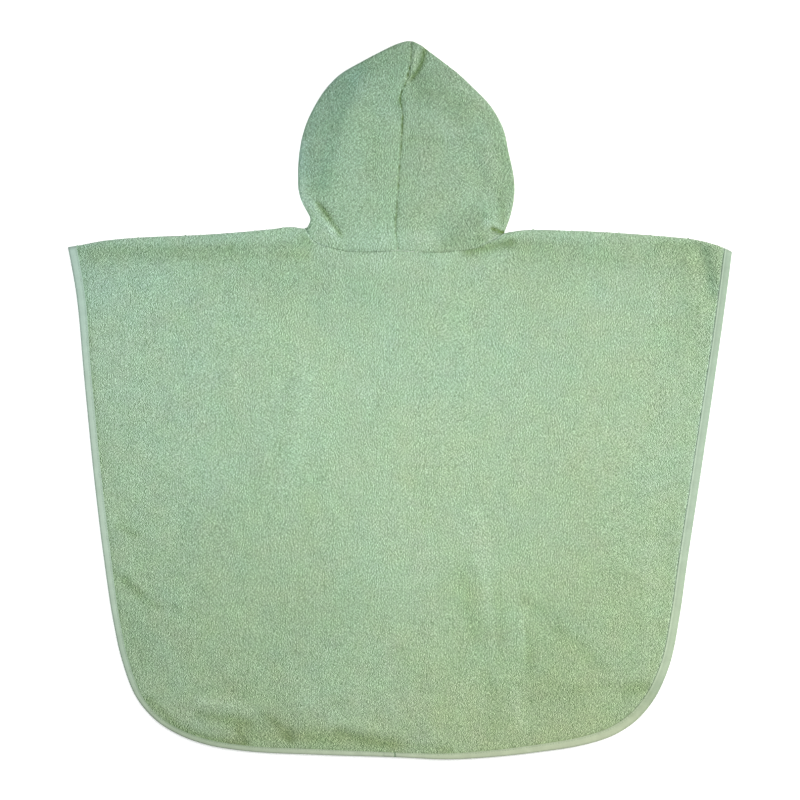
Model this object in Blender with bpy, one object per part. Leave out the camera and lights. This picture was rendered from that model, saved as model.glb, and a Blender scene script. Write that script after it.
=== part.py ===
"""Hooded bath poncho for a toddler, in cotton terry towelling, laid out flat with its back up.

Seven sewn pieces: the back and front panels, the two halves of the hood, and three lengths of
folded tape that bind the raw edges. X runs across the shoulders, +Y runs from the hem to the
peak of the hood, and z = 0 is the surface that the garment lies on. Units are metres.
"""

import math
from collections import namedtuple

import bmesh
import bpy
import numpy as np
from mathutils import Vector, geometry

MM = 0.001

# Thicknesses
TERRY = 3.0 * MM  # towelling with loops on both faces
TERRY_BOUND = 1.0 * MM  # the same, crushed by the stitching inside the tape
TAPE = 0.8 * MM  # one leg of the folded tape, two plies of woven cotton
GAP = 0.3 * MM  # between a piece and the one it is sewn to
SEAM = 0.2 * MM  # half the space left along a seam

# Tape
TAPE_WIDTH = 9.0 * MM
TAPE_ROUND = 0.9 * MM  # corner of its folded edge
TAPE_STACK = 2 * TAPE + 2 * GAP + TERRY_BOUND  # through both legs and the towelling
TAPE_CHANNEL = TAPE + GAP  # depth at which the towelling's edge sits in the fold
BOUND = TAPE_WIDTH + GAP  # how far in from the edge the towelling stays crushed
LOFTED = 12.0 * MM  # how far in it has its full thickness again
STRAIGHT = 4.0 * MM  # stretch beyond that without a station

# Layers, by the height of their undersides
LOWER = 0.0
UPPER = TAPE_STACK + GAP

# Edges
NOSE = 3.5 * MM  # rounding where front and back meet at a shoulder seam
NOSE_EDGE = 0.5 * MM  # thickness left at that seam
NOSE_LINES = (0.3 * NOSE, NOSE)  # depths of the mesh lines that carry the rounding
FOLD_ROUND = 4.5 * MM  # rounding of the hood's side fold
FOLD_LINES = (0.25 * FOLD_ROUND, FOLD_ROUND)
INNER_FOLD_LINE = 0.7 * FOLD_ROUND
FOLD_HEIGHT = 3.4 * MM  # height of the fold's outermost line
NECK_FOLD_HEIGHT = 2.4 * MM  # the same where the fold runs into the neck
NECK_FADE = 18.0 * MM
GROOVE = 1.2 * MM  # depth of a seam's furrow
GROOVE_WIDTH = 3.5 * MM
FRONT_INSET = 1.2 * MM  # how far the front's edge lies inside the back's
HOOD_DOME = 3.2 * MM  # how far the hood's upper layer stands off the lower one
HOOD_SLOPE = 34.0 * MM  # width over which it rises from an edge
SEAM_SHARE = 0.65  # share of that rise that is left along the centre seam
RIDGE_FADE = 30.0 * MM  # width over which ridges die out towards a bound edge
SHOULDER_RIDGE = 0.9 * MM  # seam allowance inside the shoulder
SHOULDER_RIDGE_WIDTH = 8.0 * MM

# Mesh density
PANEL_GRID = {"back_panel": 22.0 * MM, "front_panel": 40.0 * MM}
HOOD_GRID = 16.0 * MM
LONG_STEP = 30.0 * MM
HOOD_STEP = 15.0 * MM
TURN = math.radians(12.0)
CROWDED = 0.9 * MM  # points of the mesh closer than this are made one
CLEAR = 0.93  # share of its depth that a line beside an edge keeps from every other edge
ROOMY = 0.62  # share of the grid's spacing that its points keep from the lines
SHARP = math.radians(40.0)
LEAST_AREA = 0.01 * MM * MM  # flatter triangles, between rim points in a straight line, are left out

# Outlines: places in millimetres, across from the centre line and up from the middle of the garment
Place = namedtuple("Place", "across up")

LEFT_NECK = Place(-108.5, 197.0)
RIGHT_NECK = Place(120.0, 192.5)

LEFT_SHOULDER = (
    LEFT_NECK,
    Place(-126.0, 199.5),
    Place(-144.5, 197.3),
    Place(-181.0, 193.8),
    Place(-227.0, 190.4),
    Place(-282.5, 188.1),
    Place(-319.0, 185.9),
    Place(-346.5, 182.6),
    Place(-366.0, 178.8),
    Place(-382.0, 175.9),
)

RIGHT_SHOULDER = (
    Place(382.0, 170.6),
    Place(370.5, 176.3),
    Place(359.0, 180.2),
    Place(341.0, 184.6),
    Place(313.5, 187.8),
    Place(276.5, 190.7),
    Place(230.5, 193.8),
    Place(184.5, 195.4),
    Place(150.0, 196.2),
    Place(134.0, 194.8),
    RIGHT_NECK,
)

# From the left shoulder tip down, along the hem, and up to the right shoulder tip
SIDES_AND_HEM = (
    LEFT_SHOULDER[-1],
    Place(-374.3, 135.0),
    Place(-362.8, 20.0),
    Place(-351.3, -95.0),
    Place(-340.0, -187.0),
    Place(-329.5, -256.0),
    Place(-319.0, -302.0),
    Place(-301.0, -345.5),
    Place(-280.0, -369.0),
    Place(-252.0, -386.0),
    Place(-219.0, -397.2),
    Place(-183.0, -403.0),
    Place(-97.0, -407.8),
    Place(6.0, -411.2),
    Place(49.0, -413.2),
    Place(110.0, -410.2),
    Place(162.0, -404.4),
    Place(213.5, -396.0),
    Place(246.0, -385.5),
    Place(272.0, -368.5),
    Place(291.5, -345.5),
    Place(311.0, -302.0),
    Place(320.5, -256.0),
    Place(330.5, -187.0),
    Place(344.5, -95.0),
    Place(361.5, 20.0),
    Place(377.5, 135.0),
    RIGHT_SHOULDER[0],
)

NAPE = Place(-2.5, 172.2)
BACK_NECK_LEFT = (
    LEFT_NECK,
    Place(-99.5, 183.2),
    Place(-80.0, 175.6),
    Place(-61.5, 171.6),
    Place(-42.0, 170.5),
    NAPE,
)
BACK_NECK_RIGHT = (
    NAPE,
    Place(34.0, 170.2),
    Place(53.5, 170.6),
    Place(72.0, 172.4),
    Place(91.5, 176.4),
    Place(102.0, 181.6),
    RIGHT_NECK,
)

THROAT = Place(0.0, 121.0)
FRONT_NECK_LEFT = (LEFT_NECK, Place(-98.0, 170.0), Place(-72.0, 141.0), Place(-36.0, 125.0), THROAT)
FRONT_NECK_RIGHT = (THROAT, Place(38.0, 124.0), Place(78.0, 139.0), Place(107.0, 167.0), RIGHT_NECK)

PEAK = Place(12.5, 413.4)

# Width of the hood at each height, from the neck up
Section = namedtuple("Section", "up left right")
HOOD_SECTIONS = (
    Section(202.0, -105.0, 123.6),
    Section(209.0, -103.2, 126.2),
    Section(216.0, -106.4, 128.0),
    Section(229.0, -113.2, 130.8),
    Section(243.0, -116.9, 131.8),
    Section(257.0, -117.4, 130.9),
    Section(285.0, -115.8, 125.0),
    Section(312.0, -110.0, 119.0),
    Section(340.0, -97.4, 103.2),
    Section(360.5, -83.6, 83.4),
    Section(374.5, -69.4, 68.6),
    Section(388.0, -46.8, 51.4),
    Section(402.0, -20.2, 32.8),
    Section(409.5, -4.5, 22.5),
)

HOOD_SEAM = (
    PEAK,
    Place(13.0, 401.0),
    Place(12.0, 388.0),
    Place(7.5, 366.0),
    Place(0.6, 346.0),
    Place(3.4, 333.0),
    Place(3.0, 306.0),
    Place(0.6, 272.0),
    Place(-1.7, 234.0),
    Place(-4.0, 193.0),
    NAPE,
)

# Face opening on the underside: round at the forehead, closing to a point at the throat
FOREHEAD = Place(10.0, 345.0)
FACE_LEFT = (
    Place(-0.2, 121.7),
    Place(-5.0, 150.0),
    Place(-17.0, 190.0),
    Place(-28.0, 228.0),
    Place(-31.0, 264.0),
    Place(-26.0, 301.0),
    Place(-11.0, 332.0),
    FOREHEAD,
)
FACE_RIGHT = (
    FOREHEAD,
    Place(32.0, 332.0),
    Place(47.0, 301.0),
    Place(51.0, 264.0),
    Place(46.0, 228.0),
    Place(31.0, 190.0),
    Place(11.0, 150.0),
    Place(0.2, 121.7),
)

# Soft ridges of the upper layer, from one end to the other, in millimetres
Ridge = namedtuple("Ridge", "across up to_across to_up width height")
BACK_RIDGES = (
    Ridge(-118, 38, -134, -84, 26, 1.2),
    Ridge(-205, 60, -216, -150, 60, 0.8),
    Ridge(66, 110, 52, -60, 48, 0.7),
    Ridge(99, -160, 106, -277, 13, 0.8),
    Ridge(134, -225, 137, -394, 12, 0.8),
    Ridge(158, -250, 196, -300, 18, 0.8),
    Ridge(-60, -230, -70, -345, 30, 0.6),
    Ridge(332, 160, 346, 96, 13, 1.2),
    Ridge(-340, -185, -291, -221, 12, 0.9),
    Ridge(-349, -129, -321, -152, 12, 0.6),
    Ridge(230, -60, 262, -196, 40, 0.9),
    Ridge(268, -340, 252, -300, 14, 0.6),
    Ridge(-352, 158, -200, 164, 13, 0.7),
    Ridge(160, 162, 330, 158, 13, 0.5),
    Ridge(96, 158, 142, 160, 14, 0.7),
)
HOOD_RIDGES = (
    Ridge(-70, 334, -88, 262, 20, 0.8),
    Ridge(-108, 230, -73, 181, 8, 0.9),
    Ridge(20, 404, 13, 372, 7, 0.6),
    Ridge(29, 331, 58, 310, 12, 0.4),
    Ridge(90, 324, 113, 304, 12, 0.4),
    Ridge(-57, 224, -22, 189, 16, 0.4),
)

TERRY_GREEN = (0.362, 0.503, 0.337, 1.0)
TERRY_ROUGHNESS = 0.95
TAPE_GREEN = (0.447, 0.610, 0.478, 1.0)
TAPE_ROUGHNESS = 0.75


def metres(places):
    """A table's places as an array of points in metres."""
    return np.array([place[:2] for place in places], dtype=float) * MM


def smooth_line(points, spacing=MM):
    """Closely spaced samples of a smooth curve through the points."""
    steps = np.diff(points, axis=0)
    lengths = np.linalg.norm(steps, axis=1)[:, None]
    slopes = steps / lengths
    middle = (slopes[1:] * lengths[:-1] + slopes[:-1] * lengths[1:]) / (lengths[1:] + lengths[:-1])
    tangents = np.vstack([slopes[:1], middle, slopes[-1:]])
    samples = []
    spans = zip(points, points[1:], lengths, tangents, tangents[1:])
    for start, end, length, leaving, arriving in spans:
        t = np.arange(0.0, 1.0, spacing / length[0])[:, None]
        samples.append(
            (2 * t**3 - 3 * t**2 + 1) * start
            + (t**3 - 2 * t**2 + t) * length * leaving
            + (3 * t**2 - 2 * t**3) * end
            + (t**3 - t**2) * length * arriving
        )
    return np.vstack([*samples, points[-1:]])


def stations(line, longest):
    """Points along a line, no further apart than longest, and closer together where it bends."""
    steps = np.diff(line, axis=0)
    headings = np.unwrap(np.arctan2(steps[:, 1], steps[:, 0]))
    bends = np.abs(np.diff(headings, prepend=headings[0]))
    cost = np.cumsum(np.linalg.norm(steps, axis=1) / longest + bends / TURN)
    cost = np.concatenate([[0.0], cost])
    wanted = np.linspace(0.0, cost[-1], math.ceil(cost[-1]) + 1)
    return np.column_stack([np.interp(wanted, cost, line[:, axis]) for axis in (0, 1)])


def leftward(path, first=None, last=None):
    """The vector at each station that shifts a path one unit to its left.

    Bends are mitred, so a shifted path stays parallel. first and last aim the two end vectors
    along an edge that the path meets at a slant.
    """
    steps = np.diff(path, axis=0)
    normals = np.column_stack([-steps[:, 1], steps[:, 0]])
    normals /= np.linalg.norm(normals, axis=1)[:, None]
    before = np.vstack([normals[:1], normals])
    after = np.vstack([normals, normals[-1:]])
    vectors = before + after
    if first is not None:
        vectors[0] = first
    if last is not None:
        vectors[-1] = last
    return vectors / (vectors * after).sum(axis=1)[:, None]


def distance(points, path):
    """How far each point lies from a path of straight pieces."""
    points = np.asarray(points)[:, None, :]
    start = path[None, :-1]
    step = path[None, 1:] - start
    along = ((points - start) * step).sum(axis=2) / (step**2).sum(axis=2)
    nearest = start + np.clip(along, 0.0, 1.0)[:, :, None] * step
    return np.linalg.norm(points - nearest, axis=2).min(axis=1)


def rise(values, width):
    """0 at an edge, easing up to 1 at the given width from it."""
    t = np.clip(values / width, 0.0, 1.0)
    return t * t * (3.0 - 2.0 * t)


def rounding(values, radius):
    """0 at an edge, climbing to 1 at the given radius as a quarter circle does."""
    t = np.clip(values / radius, 0.0, 1.0)
    return np.sqrt(1.0 - (1.0 - t) ** 2)


def ridge_height(points, ridges):
    """How far the soft ridges lift the cloth at each point."""
    lift = np.zeros(len(points))
    for ridge in ridges:
        start = np.array([ridge.across, ridge.up]) * MM
        end = np.array([ridge.to_across, ridge.to_up]) * MM
        away = distance(points, np.array([start, end]))
        lift += ridge.height * MM * np.exp(-((away / (ridge.width * MM)) ** 2))
    return lift


def beside(path, depths):
    """Lines on both sides of a path, of which fill() keeps those that fall inside its rim."""
    return [(path + side * depth * leftward(path), depth) for depth in depths for side in (1, -1)]


def inside(points, rim):
    """Whether each point lies within a closed rim."""
    start = rim[None]
    end = np.roll(rim, -1, axis=0)[None]
    points = np.asarray(points)[:, None, :]
    spans = (start[..., 1] > points[..., 1]) != (end[..., 1] > points[..., 1])
    height = np.where(spans, end[..., 1] - start[..., 1], 1.0)
    share = (points[..., 1] - start[..., 1]) / height
    crossing = start[..., 0] + share * (end[..., 0] - start[..., 0])
    return (spans & (crossing > points[..., 0])).sum(axis=1) % 2 == 1


def fill(rim, lines, grid):
    """Triangles inside a closed rim, keeping the given lines as edges, with a grid of points between."""
    closed = np.vstack([rim, rim[:1]])
    points = [*rim]
    edges = []
    for line, depth in lines:
        clear = (distance(line, closed) > CLEAR * depth) & inside(line, rim)
        previous = None
        for point, free in zip(line, clear):
            spread = np.linalg.norm(np.array(points) - point, axis=1)
            number = int(spread.argmin())
            if spread[number] > CROWDED:
                if not free:
                    previous = None
                    continue
                number = len(points)
                points.append(point)
            if previous not in (None, number):
                edges.append((previous, number))
            previous = number
    low, high = rim.min(axis=0), rim.max(axis=0)
    row_height = grid * math.sqrt(3) / 2
    candidates = []
    for row in range(int((high[1] - low[1]) / row_height) + 1):
        shift = grid / 2 * (row % 2)
        for column in range(int((high[0] - low[0]) / grid) + 1):
            candidates.append((low[0] + shift + column * grid, low[1] + row * row_height))
    candidates = np.array(candidates)
    taken = np.array(points)
    spread = np.linalg.norm(candidates[:, None] - taken[None], axis=2).min(axis=1)
    points.extend(candidates[(spread > ROOMY * grid) & inside(candidates, rim)])
    edges.extend(zip(range(len(rim)), [*range(1, len(rim)), 0]))
    found, _, triangles, sources, _, _ = geometry.delaunay_2d_cdt(
        [Vector(point) for point in points], edges, [], 0, 0.001 * MM, True
    )
    placed = np.array([points[ids[0]] if ids else np.array(point) for point, ids in zip(found, sources)])
    corners = placed[np.array(triangles)]
    sides = corners[:, 1:] - corners[:, :1]
    area = np.abs(sides[:, 0, 0] * sides[:, 1, 1] - sides[:, 0, 1] * sides[:, 1, 0]) / 2
    kept = inside(corners.mean(axis=1), rim) & (area > LEAST_AREA)
    return placed, [triangle for triangle, wanted in zip(triangles, kept) if wanted]


class Skin:
    """The closed surface of one sewn piece, gathered face by face."""

    def __init__(self):
        self.numbers = {}
        self.points = []
        self.faces = []

    def corner(self, point):
        """The number of the corner at a point, the same for every face that meets there."""
        key = tuple(round(value / (0.001 * MM)) for value in point)
        if key not in self.numbers:
            self.numbers[key] = len(self.points)
            self.points.append(point)
        return self.numbers[key]

    def face(self, points):
        self.faces.append([self.corner(point) for point in points])

    def sheet(self, points, triangles, heights):
        """One side of the cloth, at the given heights."""
        raised = np.column_stack([points, heights])
        for triangle in triangles:
            self.face([raised[number] for number in triangle])

    def strip(self, lower, upper):
        """The cut edge of the cloth, between two rows of points."""
        for a, b, c, d in zip(lower, lower[1:], upper[1:], upper):
            self.face([a, b, c, d])

    def build(self, name, colour, roughness):
        """Makes the object, with all its faces turned outwards."""
        shape = bmesh.new()
        corners = [shape.verts.new(point) for point in self.points]
        for face in self.faces:
            shape.faces.new([corners[number] for number in face])
        bmesh.ops.recalc_face_normals(shape, faces=shape.faces)
        mesh = bpy.data.meshes.new(name)
        shape.to_mesh(mesh)
        shape.free()
        mesh.shade_smooth()
        mesh.set_sharp_from_angle(angle=SHARP)
        mesh.materials.append(cloth_material(name, colour, roughness))
        piece = bpy.data.objects.new(name, mesh)
        bpy.context.collection.objects.link(piece)
        return piece


def cloth_material(name, colour, roughness):
    material = bpy.data.materials.new(name + "_cloth")
    material.use_nodes = True
    shader = material.node_tree.nodes["Principled BSDF"]
    shader.inputs["Base Color"].default_value = colour
    shader.inputs["Roughness"].default_value = roughness
    shader.inputs["Metallic"].default_value = 0.0
    return material


def body_edge(inset):
    """The bound edge of a panel: its stations and the vectors that lead from them into the cloth."""
    line = smooth_line(metres(SIDES_AND_HEM))
    path = stations(line, LONG_STEP)
    left_tip, left_next = metres((LEFT_SHOULDER[-1], LEFT_SHOULDER[-2]))
    right_tip, right_next = metres((RIGHT_SHOULDER[0], RIGHT_SHOULDER[1]))
    aims = {"first": left_next - left_tip, "last": right_next - right_tip}
    path = path + inset * leftward(path, **aims)
    return path, leftward(path, **aims)


def shoulder(table, tip, into_cloth):
    """A shoulder line without the stretch at its tip that the tape covers, as stations from the neck."""
    line = smooth_line(metres(table))
    clear = np.linalg.norm(line - tip, axis=1) > LOFTED + STRAIGHT
    path = stations(line[clear], LONG_STEP)
    covered = [tip + depth * into_cloth for depth in (LOFTED, BOUND, TAPE_CHANNEL)]
    return np.vstack([path, covered])


def half_neck(table, near):
    """Stations from a neck point to the middle of a neckline, closer at the distances in near."""
    line = smooth_line(metres(table))
    middle = line[-1]
    if not near:
        return stations(line, HOOD_STEP)
    away = np.linalg.norm(line - middle, axis=1)
    path = stations(line[away > near[0] + STRAIGHT], HOOD_STEP)
    outwards = line[np.abs(away - near[0]).argmin()] - middle
    outwards /= np.linalg.norm(outwards)
    return np.vstack([path, *[middle + reach * outwards for reach in near], middle])


def neck_path(left_table, right_table):
    """A neckline from the left neck point to the right one, and the number of its middle station.

    The front one has stations where the tape of the face opening ends and the towelling has
    lofted up beyond it.
    """
    near = (LOFTED + SEAM, BOUND + SEAM) if left_table[-1] == THROAT else ()
    left = half_neck(left_table, near)
    right = half_neck(right_table[::-1], near)[::-1]
    return np.vstack([left, right[1:]]), len(left) - 1


def bound_heights(low, high, away, base):
    """Heights of a wall that is crushed flat inside the tape and lofts up beyond it."""
    lofted = rise(away - BOUND, LOFTED - BOUND)
    crushed = base + TAPE + GAP
    low = lofted * low + (1.0 - lofted) * crushed
    high = lofted * high + (1.0 - lofted) * (crushed + TERRY_BOUND)
    return low, high


PanelEdges = namedtuple("PanelEdges", "bound into_cloth left right neck")


def panel_edges(inset, necks):
    """The edges of a body panel, each as a path: the bound edge, both shoulders and the neckline."""
    bound, into_cloth = body_edge(inset)
    left = shoulder(LEFT_SHOULDER, bound[0], into_cloth[0])
    right = shoulder(RIGHT_SHOULDER[::-1], bound[-1], into_cloth[-1])
    neck, _ = neck_path(*necks)
    neck = neck - SEAM * leftward(neck)
    left[0], right[0] = neck[0], neck[-1]
    return PanelEdges(bound, into_cloth, left, right, neck)


def panel_lines(edges):
    """The lines of the mesh that run beside a panel's edges, each with its depth from that edge."""
    lines = [(edges.bound + depth * edges.into_cloth, depth - TAPE_CHANNEL) for depth in (BOUND, LOFTED)]
    left, right = edges.left[:-3], edges.right[:-3]
    for depth in NOSE_LINES:
        lines.append((left + depth * leftward(left), depth))
        lines.append((right - depth * leftward(right), depth))
    lines.append((edges.neck - GROOVE_WIDTH * leftward(edges.neck), GROOVE_WIDTH))
    return lines


def front_heights(points, edges):
    """Heights of the front's two faces: flat, with its shoulders turned up towards the seam."""
    from_shoulder = np.minimum(distance(points, edges.left), distance(points, edges.right))
    high = np.full(len(points), LOWER + TERRY)
    low = high - NOSE_EDGE - (TERRY - NOSE_EDGE) * rounding(from_shoulder, NOSE)
    return bound_heights(low, high, distance(points, edges.bound), LOWER)


def back_heights(points, edges):
    """Heights of the back's two faces, with its ridges, and its shoulders turned down."""
    from_bound = distance(points, edges.bound)
    from_neck = distance(points, edges.neck)
    from_shoulder = np.minimum(distance(points, edges.left), distance(points, edges.right))
    lift = ridge_height(points, BACK_RIDGES) * rise(from_bound, RIDGE_FADE)
    lift *= rise(from_neck, RIDGE_FADE) * rise(from_shoulder, RIDGE_FADE / 2)
    swell = SHOULDER_RIDGE * (1.0 - rise(from_shoulder, 2 * SHOULDER_RIDGE_WIDTH))
    low = UPPER + lift
    high = low + NOSE_EDGE + (TERRY - NOSE_EDGE + swell) * rounding(from_shoulder, NOSE)
    high -= GROOVE * (1.0 - rise(from_neck, GROOVE_WIDTH)) * rise(from_shoulder, NOSE)
    return bound_heights(low, high, from_bound, UPPER)


def panel(name, inset, necks, heights):
    """A panel of the body, as a closed shell round the towelling's thickness."""
    edges = panel_edges(inset, necks)
    bound = (edges.bound + TAPE_CHANNEL * edges.into_cloth)[1:-1]
    rim = np.vstack([edges.left, bound, edges.right[::-1], edges.neck[::-1][1:-1]])
    points, triangles = fill(rim, panel_lines(edges), PANEL_GRID[name])
    low, high = heights(points, edges)
    skin = Skin()
    skin.sheet(points, triangles, low)
    skin.sheet(points, triangles, high)
    around = [*range(len(rim)), 0]
    lower = np.column_stack([points, low])[around]
    upper = np.column_stack([points, high])[around]
    skin.strip(lower, upper)
    return skin.build(name, TERRY_GREEN, TERRY_ROUGHNESS)


def binding(name, path, into_cloth, base):
    """Folded tape along a path: two flat legs joined by a rounded fold, closed at both ends."""
    profile = (
        (TAPE_WIDTH, 0.0),
        (TAPE_ROUND, 0.0),
        (0.0, TAPE_ROUND),
        (0.0, TAPE_STACK - TAPE_ROUND),
        (TAPE_ROUND, TAPE_STACK),
        (TAPE_WIDTH, TAPE_STACK),
        (TAPE_WIDTH, TAPE_STACK - TAPE),
        (TAPE, TAPE_STACK - TAPE),
        (TAPE, TAPE),
        (TAPE_WIDTH, TAPE),
    )
    rings = []
    for point, inward in zip(path, into_cloth):
        rings.append([(*(point + depth * inward), base + height) for depth, height in profile])
    skin = Skin()
    for ring, following in zip(rings, rings[1:]):
        skin.strip([*ring, ring[0]], [*following, following[0]])
    skin.face(rings[0])
    skin.face(rings[-1])
    return skin.build(name, TAPE_GREEN, TAPE_ROUGHNESS)


def face_edge():
    """The edge of the face opening from throat to forehead to throat, with the cloth on its left."""
    left = stations(smooth_line(metres(FACE_LEFT)), HOOD_STEP)
    right = stations(smooth_line(metres(FACE_RIGHT)), HOOD_STEP)
    path = np.vstack([left, right[1:]])
    return path, leftward(path, first=(-1.0, 0.0), last=(1.0, 0.0)), len(left) - 1


def hood_fold(side):
    """The side fold of half the hood, from the neck point up to the peak."""
    left = [Place(section.left, section.up) for section in HOOD_SECTIONS]
    right = [Place(section.right, section.up) for section in HOOD_SECTIONS]
    line = smooth_line(metres([LEFT_NECK, *left, PEAK, *right[::-1], RIGHT_NECK]))
    top = int(np.argmin(np.linalg.norm(line - metres([PEAK])[0], axis=1)))
    half = line[: top + 1] if side < 0 else line[top:][::-1]
    return stations(half, HOOD_STEP)


def fold_height(points):
    """Height of the fold's outermost line, which sinks as it runs into the neck."""
    from_neck = np.minimum(
        np.linalg.norm(points - metres([LEFT_NECK])[0], axis=1),
        np.linalg.norm(points - metres([RIGHT_NECK])[0], axis=1),
    )
    return NECK_FOLD_HEIGHT + (FOLD_HEIGHT - NECK_FOLD_HEIGHT) * rise(from_neck, NECK_FADE)


HoodEdges = namedtuple("HoodEdges", "fold inner_fold seam nape face brow throat")


def hood_edges(side):
    """The edges of half a hood, each as a path. The inner fold is the inside of the side fold."""
    shift = np.array([side * SEAM, 0.0])
    fold = hood_fold(side)

    back_neck, nape = neck_path(BACK_NECK_LEFT, BACK_NECK_RIGHT)
    back_neck = back_neck + SEAM * leftward(back_neck)
    nape_edge = back_neck[: nape + 1] if side < 0 else back_neck[nape:][::-1]
    nape_edge[-1] += shift

    front_neck, throat = neck_path(FRONT_NECK_LEFT, FRONT_NECK_RIGHT)
    front_neck = front_neck + SEAM * leftward(front_neck)
    throat_edge = front_neck[: throat + 1] if side < 0 else front_neck[throat:][::-1]

    face, into_cloth, brow = face_edge()
    face = face + TAPE_CHANNEL * into_cloth
    face_half = face[: brow + 1] if side < 0 else face[brow:][::-1]
    face_half[-1] = metres([FOREHEAD])[0] + shift + (0.0, TAPE_CHANNEL)
    face_half[0][1] = throat_edge[-1][1]

    fold[0] = nape_edge[0]
    fold[-1] = metres([PEAK])[0] + shift
    throat_edge[0] = nape_edge[0]

    seam = stations(smooth_line(metres(HOOD_SEAM)), HOOD_STEP) + shift
    seam = np.vstack([fold[-1:], seam[1:-1], nape_edge[-1:]])
    clear_of_tape = np.linspace(fold[-1], face_half[-1] + (0.0, LOFTED - TAPE_CHANNEL), 5)
    brow_seam = np.vstack([clear_of_tape, face_half[-1] + (0.0, BOUND - TAPE_CHANNEL), face_half[-1]])
    inner_fold = fold + TERRY * side * leftward(fold)
    inner_fold[-1] = fold[-1] - (0.0, TERRY)
    return HoodEdges(fold, inner_fold, seam, nape_edge, face_half, brow_seam, throat_edge)


def stand_off(points, edges):
    """How far the hood's upper layer stands above the flat."""
    dome = HOOD_DOME * rise(distance(points, edges.fold) + FOLD_ROUND, HOOD_SLOPE)
    dome *= SEAM_SHARE + (1.0 - SEAM_SHARE) * rise(distance(points, edges.seam), HOOD_SLOPE)
    return (dome + ridge_height(points, HOOD_RIDGES)) * rise(distance(points, edges.nape), HOOD_SLOPE)


def upper_outside(points, edges):
    """Heights of the face that shows, rounded at the fold and furrowed along its seams."""
    from_seam = np.minimum(distance(points, edges.seam), distance(points, edges.nape))
    crest = UPPER + TERRY + stand_off(points, edges) - GROOVE * (1.0 - rise(from_seam, GROOVE_WIDTH))
    low = fold_height(points)
    return low + (crest - low) * rounding(distance(points, edges.fold), FOLD_ROUND)


def upper_inside(points, edges):
    low = fold_height(points)
    climb = rise(distance(points, edges.inner_fold), FOLD_ROUND)
    return low + (UPPER + stand_off(points, edges) - low) * climb


def under_heights(points, edges):
    """Heights of the under layer's two faces."""
    edge = fold_height(points)
    low = edge * (1.0 - rounding(distance(points, edges.fold), FOLD_ROUND))
    high = edge + (TERRY - edge) * rise(distance(points, edges.inner_fold), FOLD_ROUND)
    bound = bound_heights(low, high, distance(points, edges.face) + TAPE_CHANNEL, LOWER)
    from_fold = rise(distance(points, edges.fold), 2 * FOLD_ROUND)
    return low + from_fold * (bound[0] - low), high + from_fold * (bound[1] - high)


def under_outside(points, edges):
    return under_heights(points, edges)[0]


def under_inside(points, edges):
    return under_heights(points, edges)[1]


def hood_half(name, side):
    """Half a hood: an upper layer, a side fold, and an under layer that ends at the face opening."""
    edges = hood_edges(side)
    upper_rest = np.vstack([edges.seam[1:], edges.nape[::-1][1:-1]])
    under_rest = np.vstack([edges.brow[1:], edges.face[::-1][1:], edges.throat[::-1][1:-1]])
    seam_lines = beside(edges.seam, (GROOVE_WIDTH,)) + beside(edges.nape, (GROOVE_WIDTH,))
    bound_lines = beside(edges.face, (BOUND - TAPE_CHANNEL, LOFTED - TAPE_CHANNEL))
    outer_lines = beside(edges.fold, FOLD_LINES)
    inner_lines = beside(edges.inner_fold, (INNER_FOLD_LINE,))
    skin = Skin()
    for rest, lines, outside, inside_face in (
        (upper_rest, seam_lines, upper_outside, upper_inside),
        (under_rest, bound_lines, under_outside, under_inside),
    ):
        for crease, crease_lines, heights in (
            (edges.fold, outer_lines, outside),
            (edges.inner_fold, inner_lines, inside_face),
        ):
            points, triangles = fill(np.vstack([crease, rest]), [*crease_lines, *lines], HOOD_GRID)
            skin.sheet(points, triangles, heights(points, edges))
        outer_row = np.vstack([edges.fold[-1:], rest, edges.fold[:1]])
        inner_row = np.vstack([edges.inner_fold[-1:], rest, edges.inner_fold[:1]])
        skin.strip(
            np.column_stack([outer_row, outside(outer_row, edges)]),
            np.column_stack([inner_row, inside_face(inner_row, edges)]),
        )
    return skin.build(name, TERRY_GREEN, TERRY_ROUGHNESS)


def centre(pieces):
    """Moves the whole garment so that the middle of its footprint is the origin."""
    corners = np.array([corner.co[:] for piece in pieces for corner in piece.data.vertices])
    middle = (corners.min(axis=0) + corners.max(axis=0)) / 2
    for piece in pieces:
        for corner in piece.data.vertices:
            corner.co -= Vector((middle[0], middle[1], 0.0))


for old in list(bpy.data.objects):
    bpy.data.objects.remove(old)

garment = [
    panel("front_panel", FRONT_INSET, (FRONT_NECK_LEFT, FRONT_NECK_RIGHT), front_heights),
    panel("back_panel", 0.0, (BACK_NECK_LEFT, BACK_NECK_RIGHT), back_heights),
    binding("front_binding", *body_edge(FRONT_INSET), LOWER),
    binding("back_binding", *body_edge(0.0), UPPER),
    hood_half("hood_left", -1),
    hood_half("hood_right", 1),
    binding("hood_binding", *face_edge()[:2], LOWER),
]
centre(garment)
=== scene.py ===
"""Toddler's hooded bath poncho in sage cotton terry towelling, laid out flat with its back up.

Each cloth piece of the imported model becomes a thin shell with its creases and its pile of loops,
and each binding becomes folded tape with its topstitching. X runs across the shoulders, +Y runs
from the hem to the peak of the hood, and z = 0 is the floor. Units are metres.
"""

import math
from collections import namedtuple

import bmesh
import bpy
import numpy as np
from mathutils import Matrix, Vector, geometry
from mathutils.bvhtree import BVHTree


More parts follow.
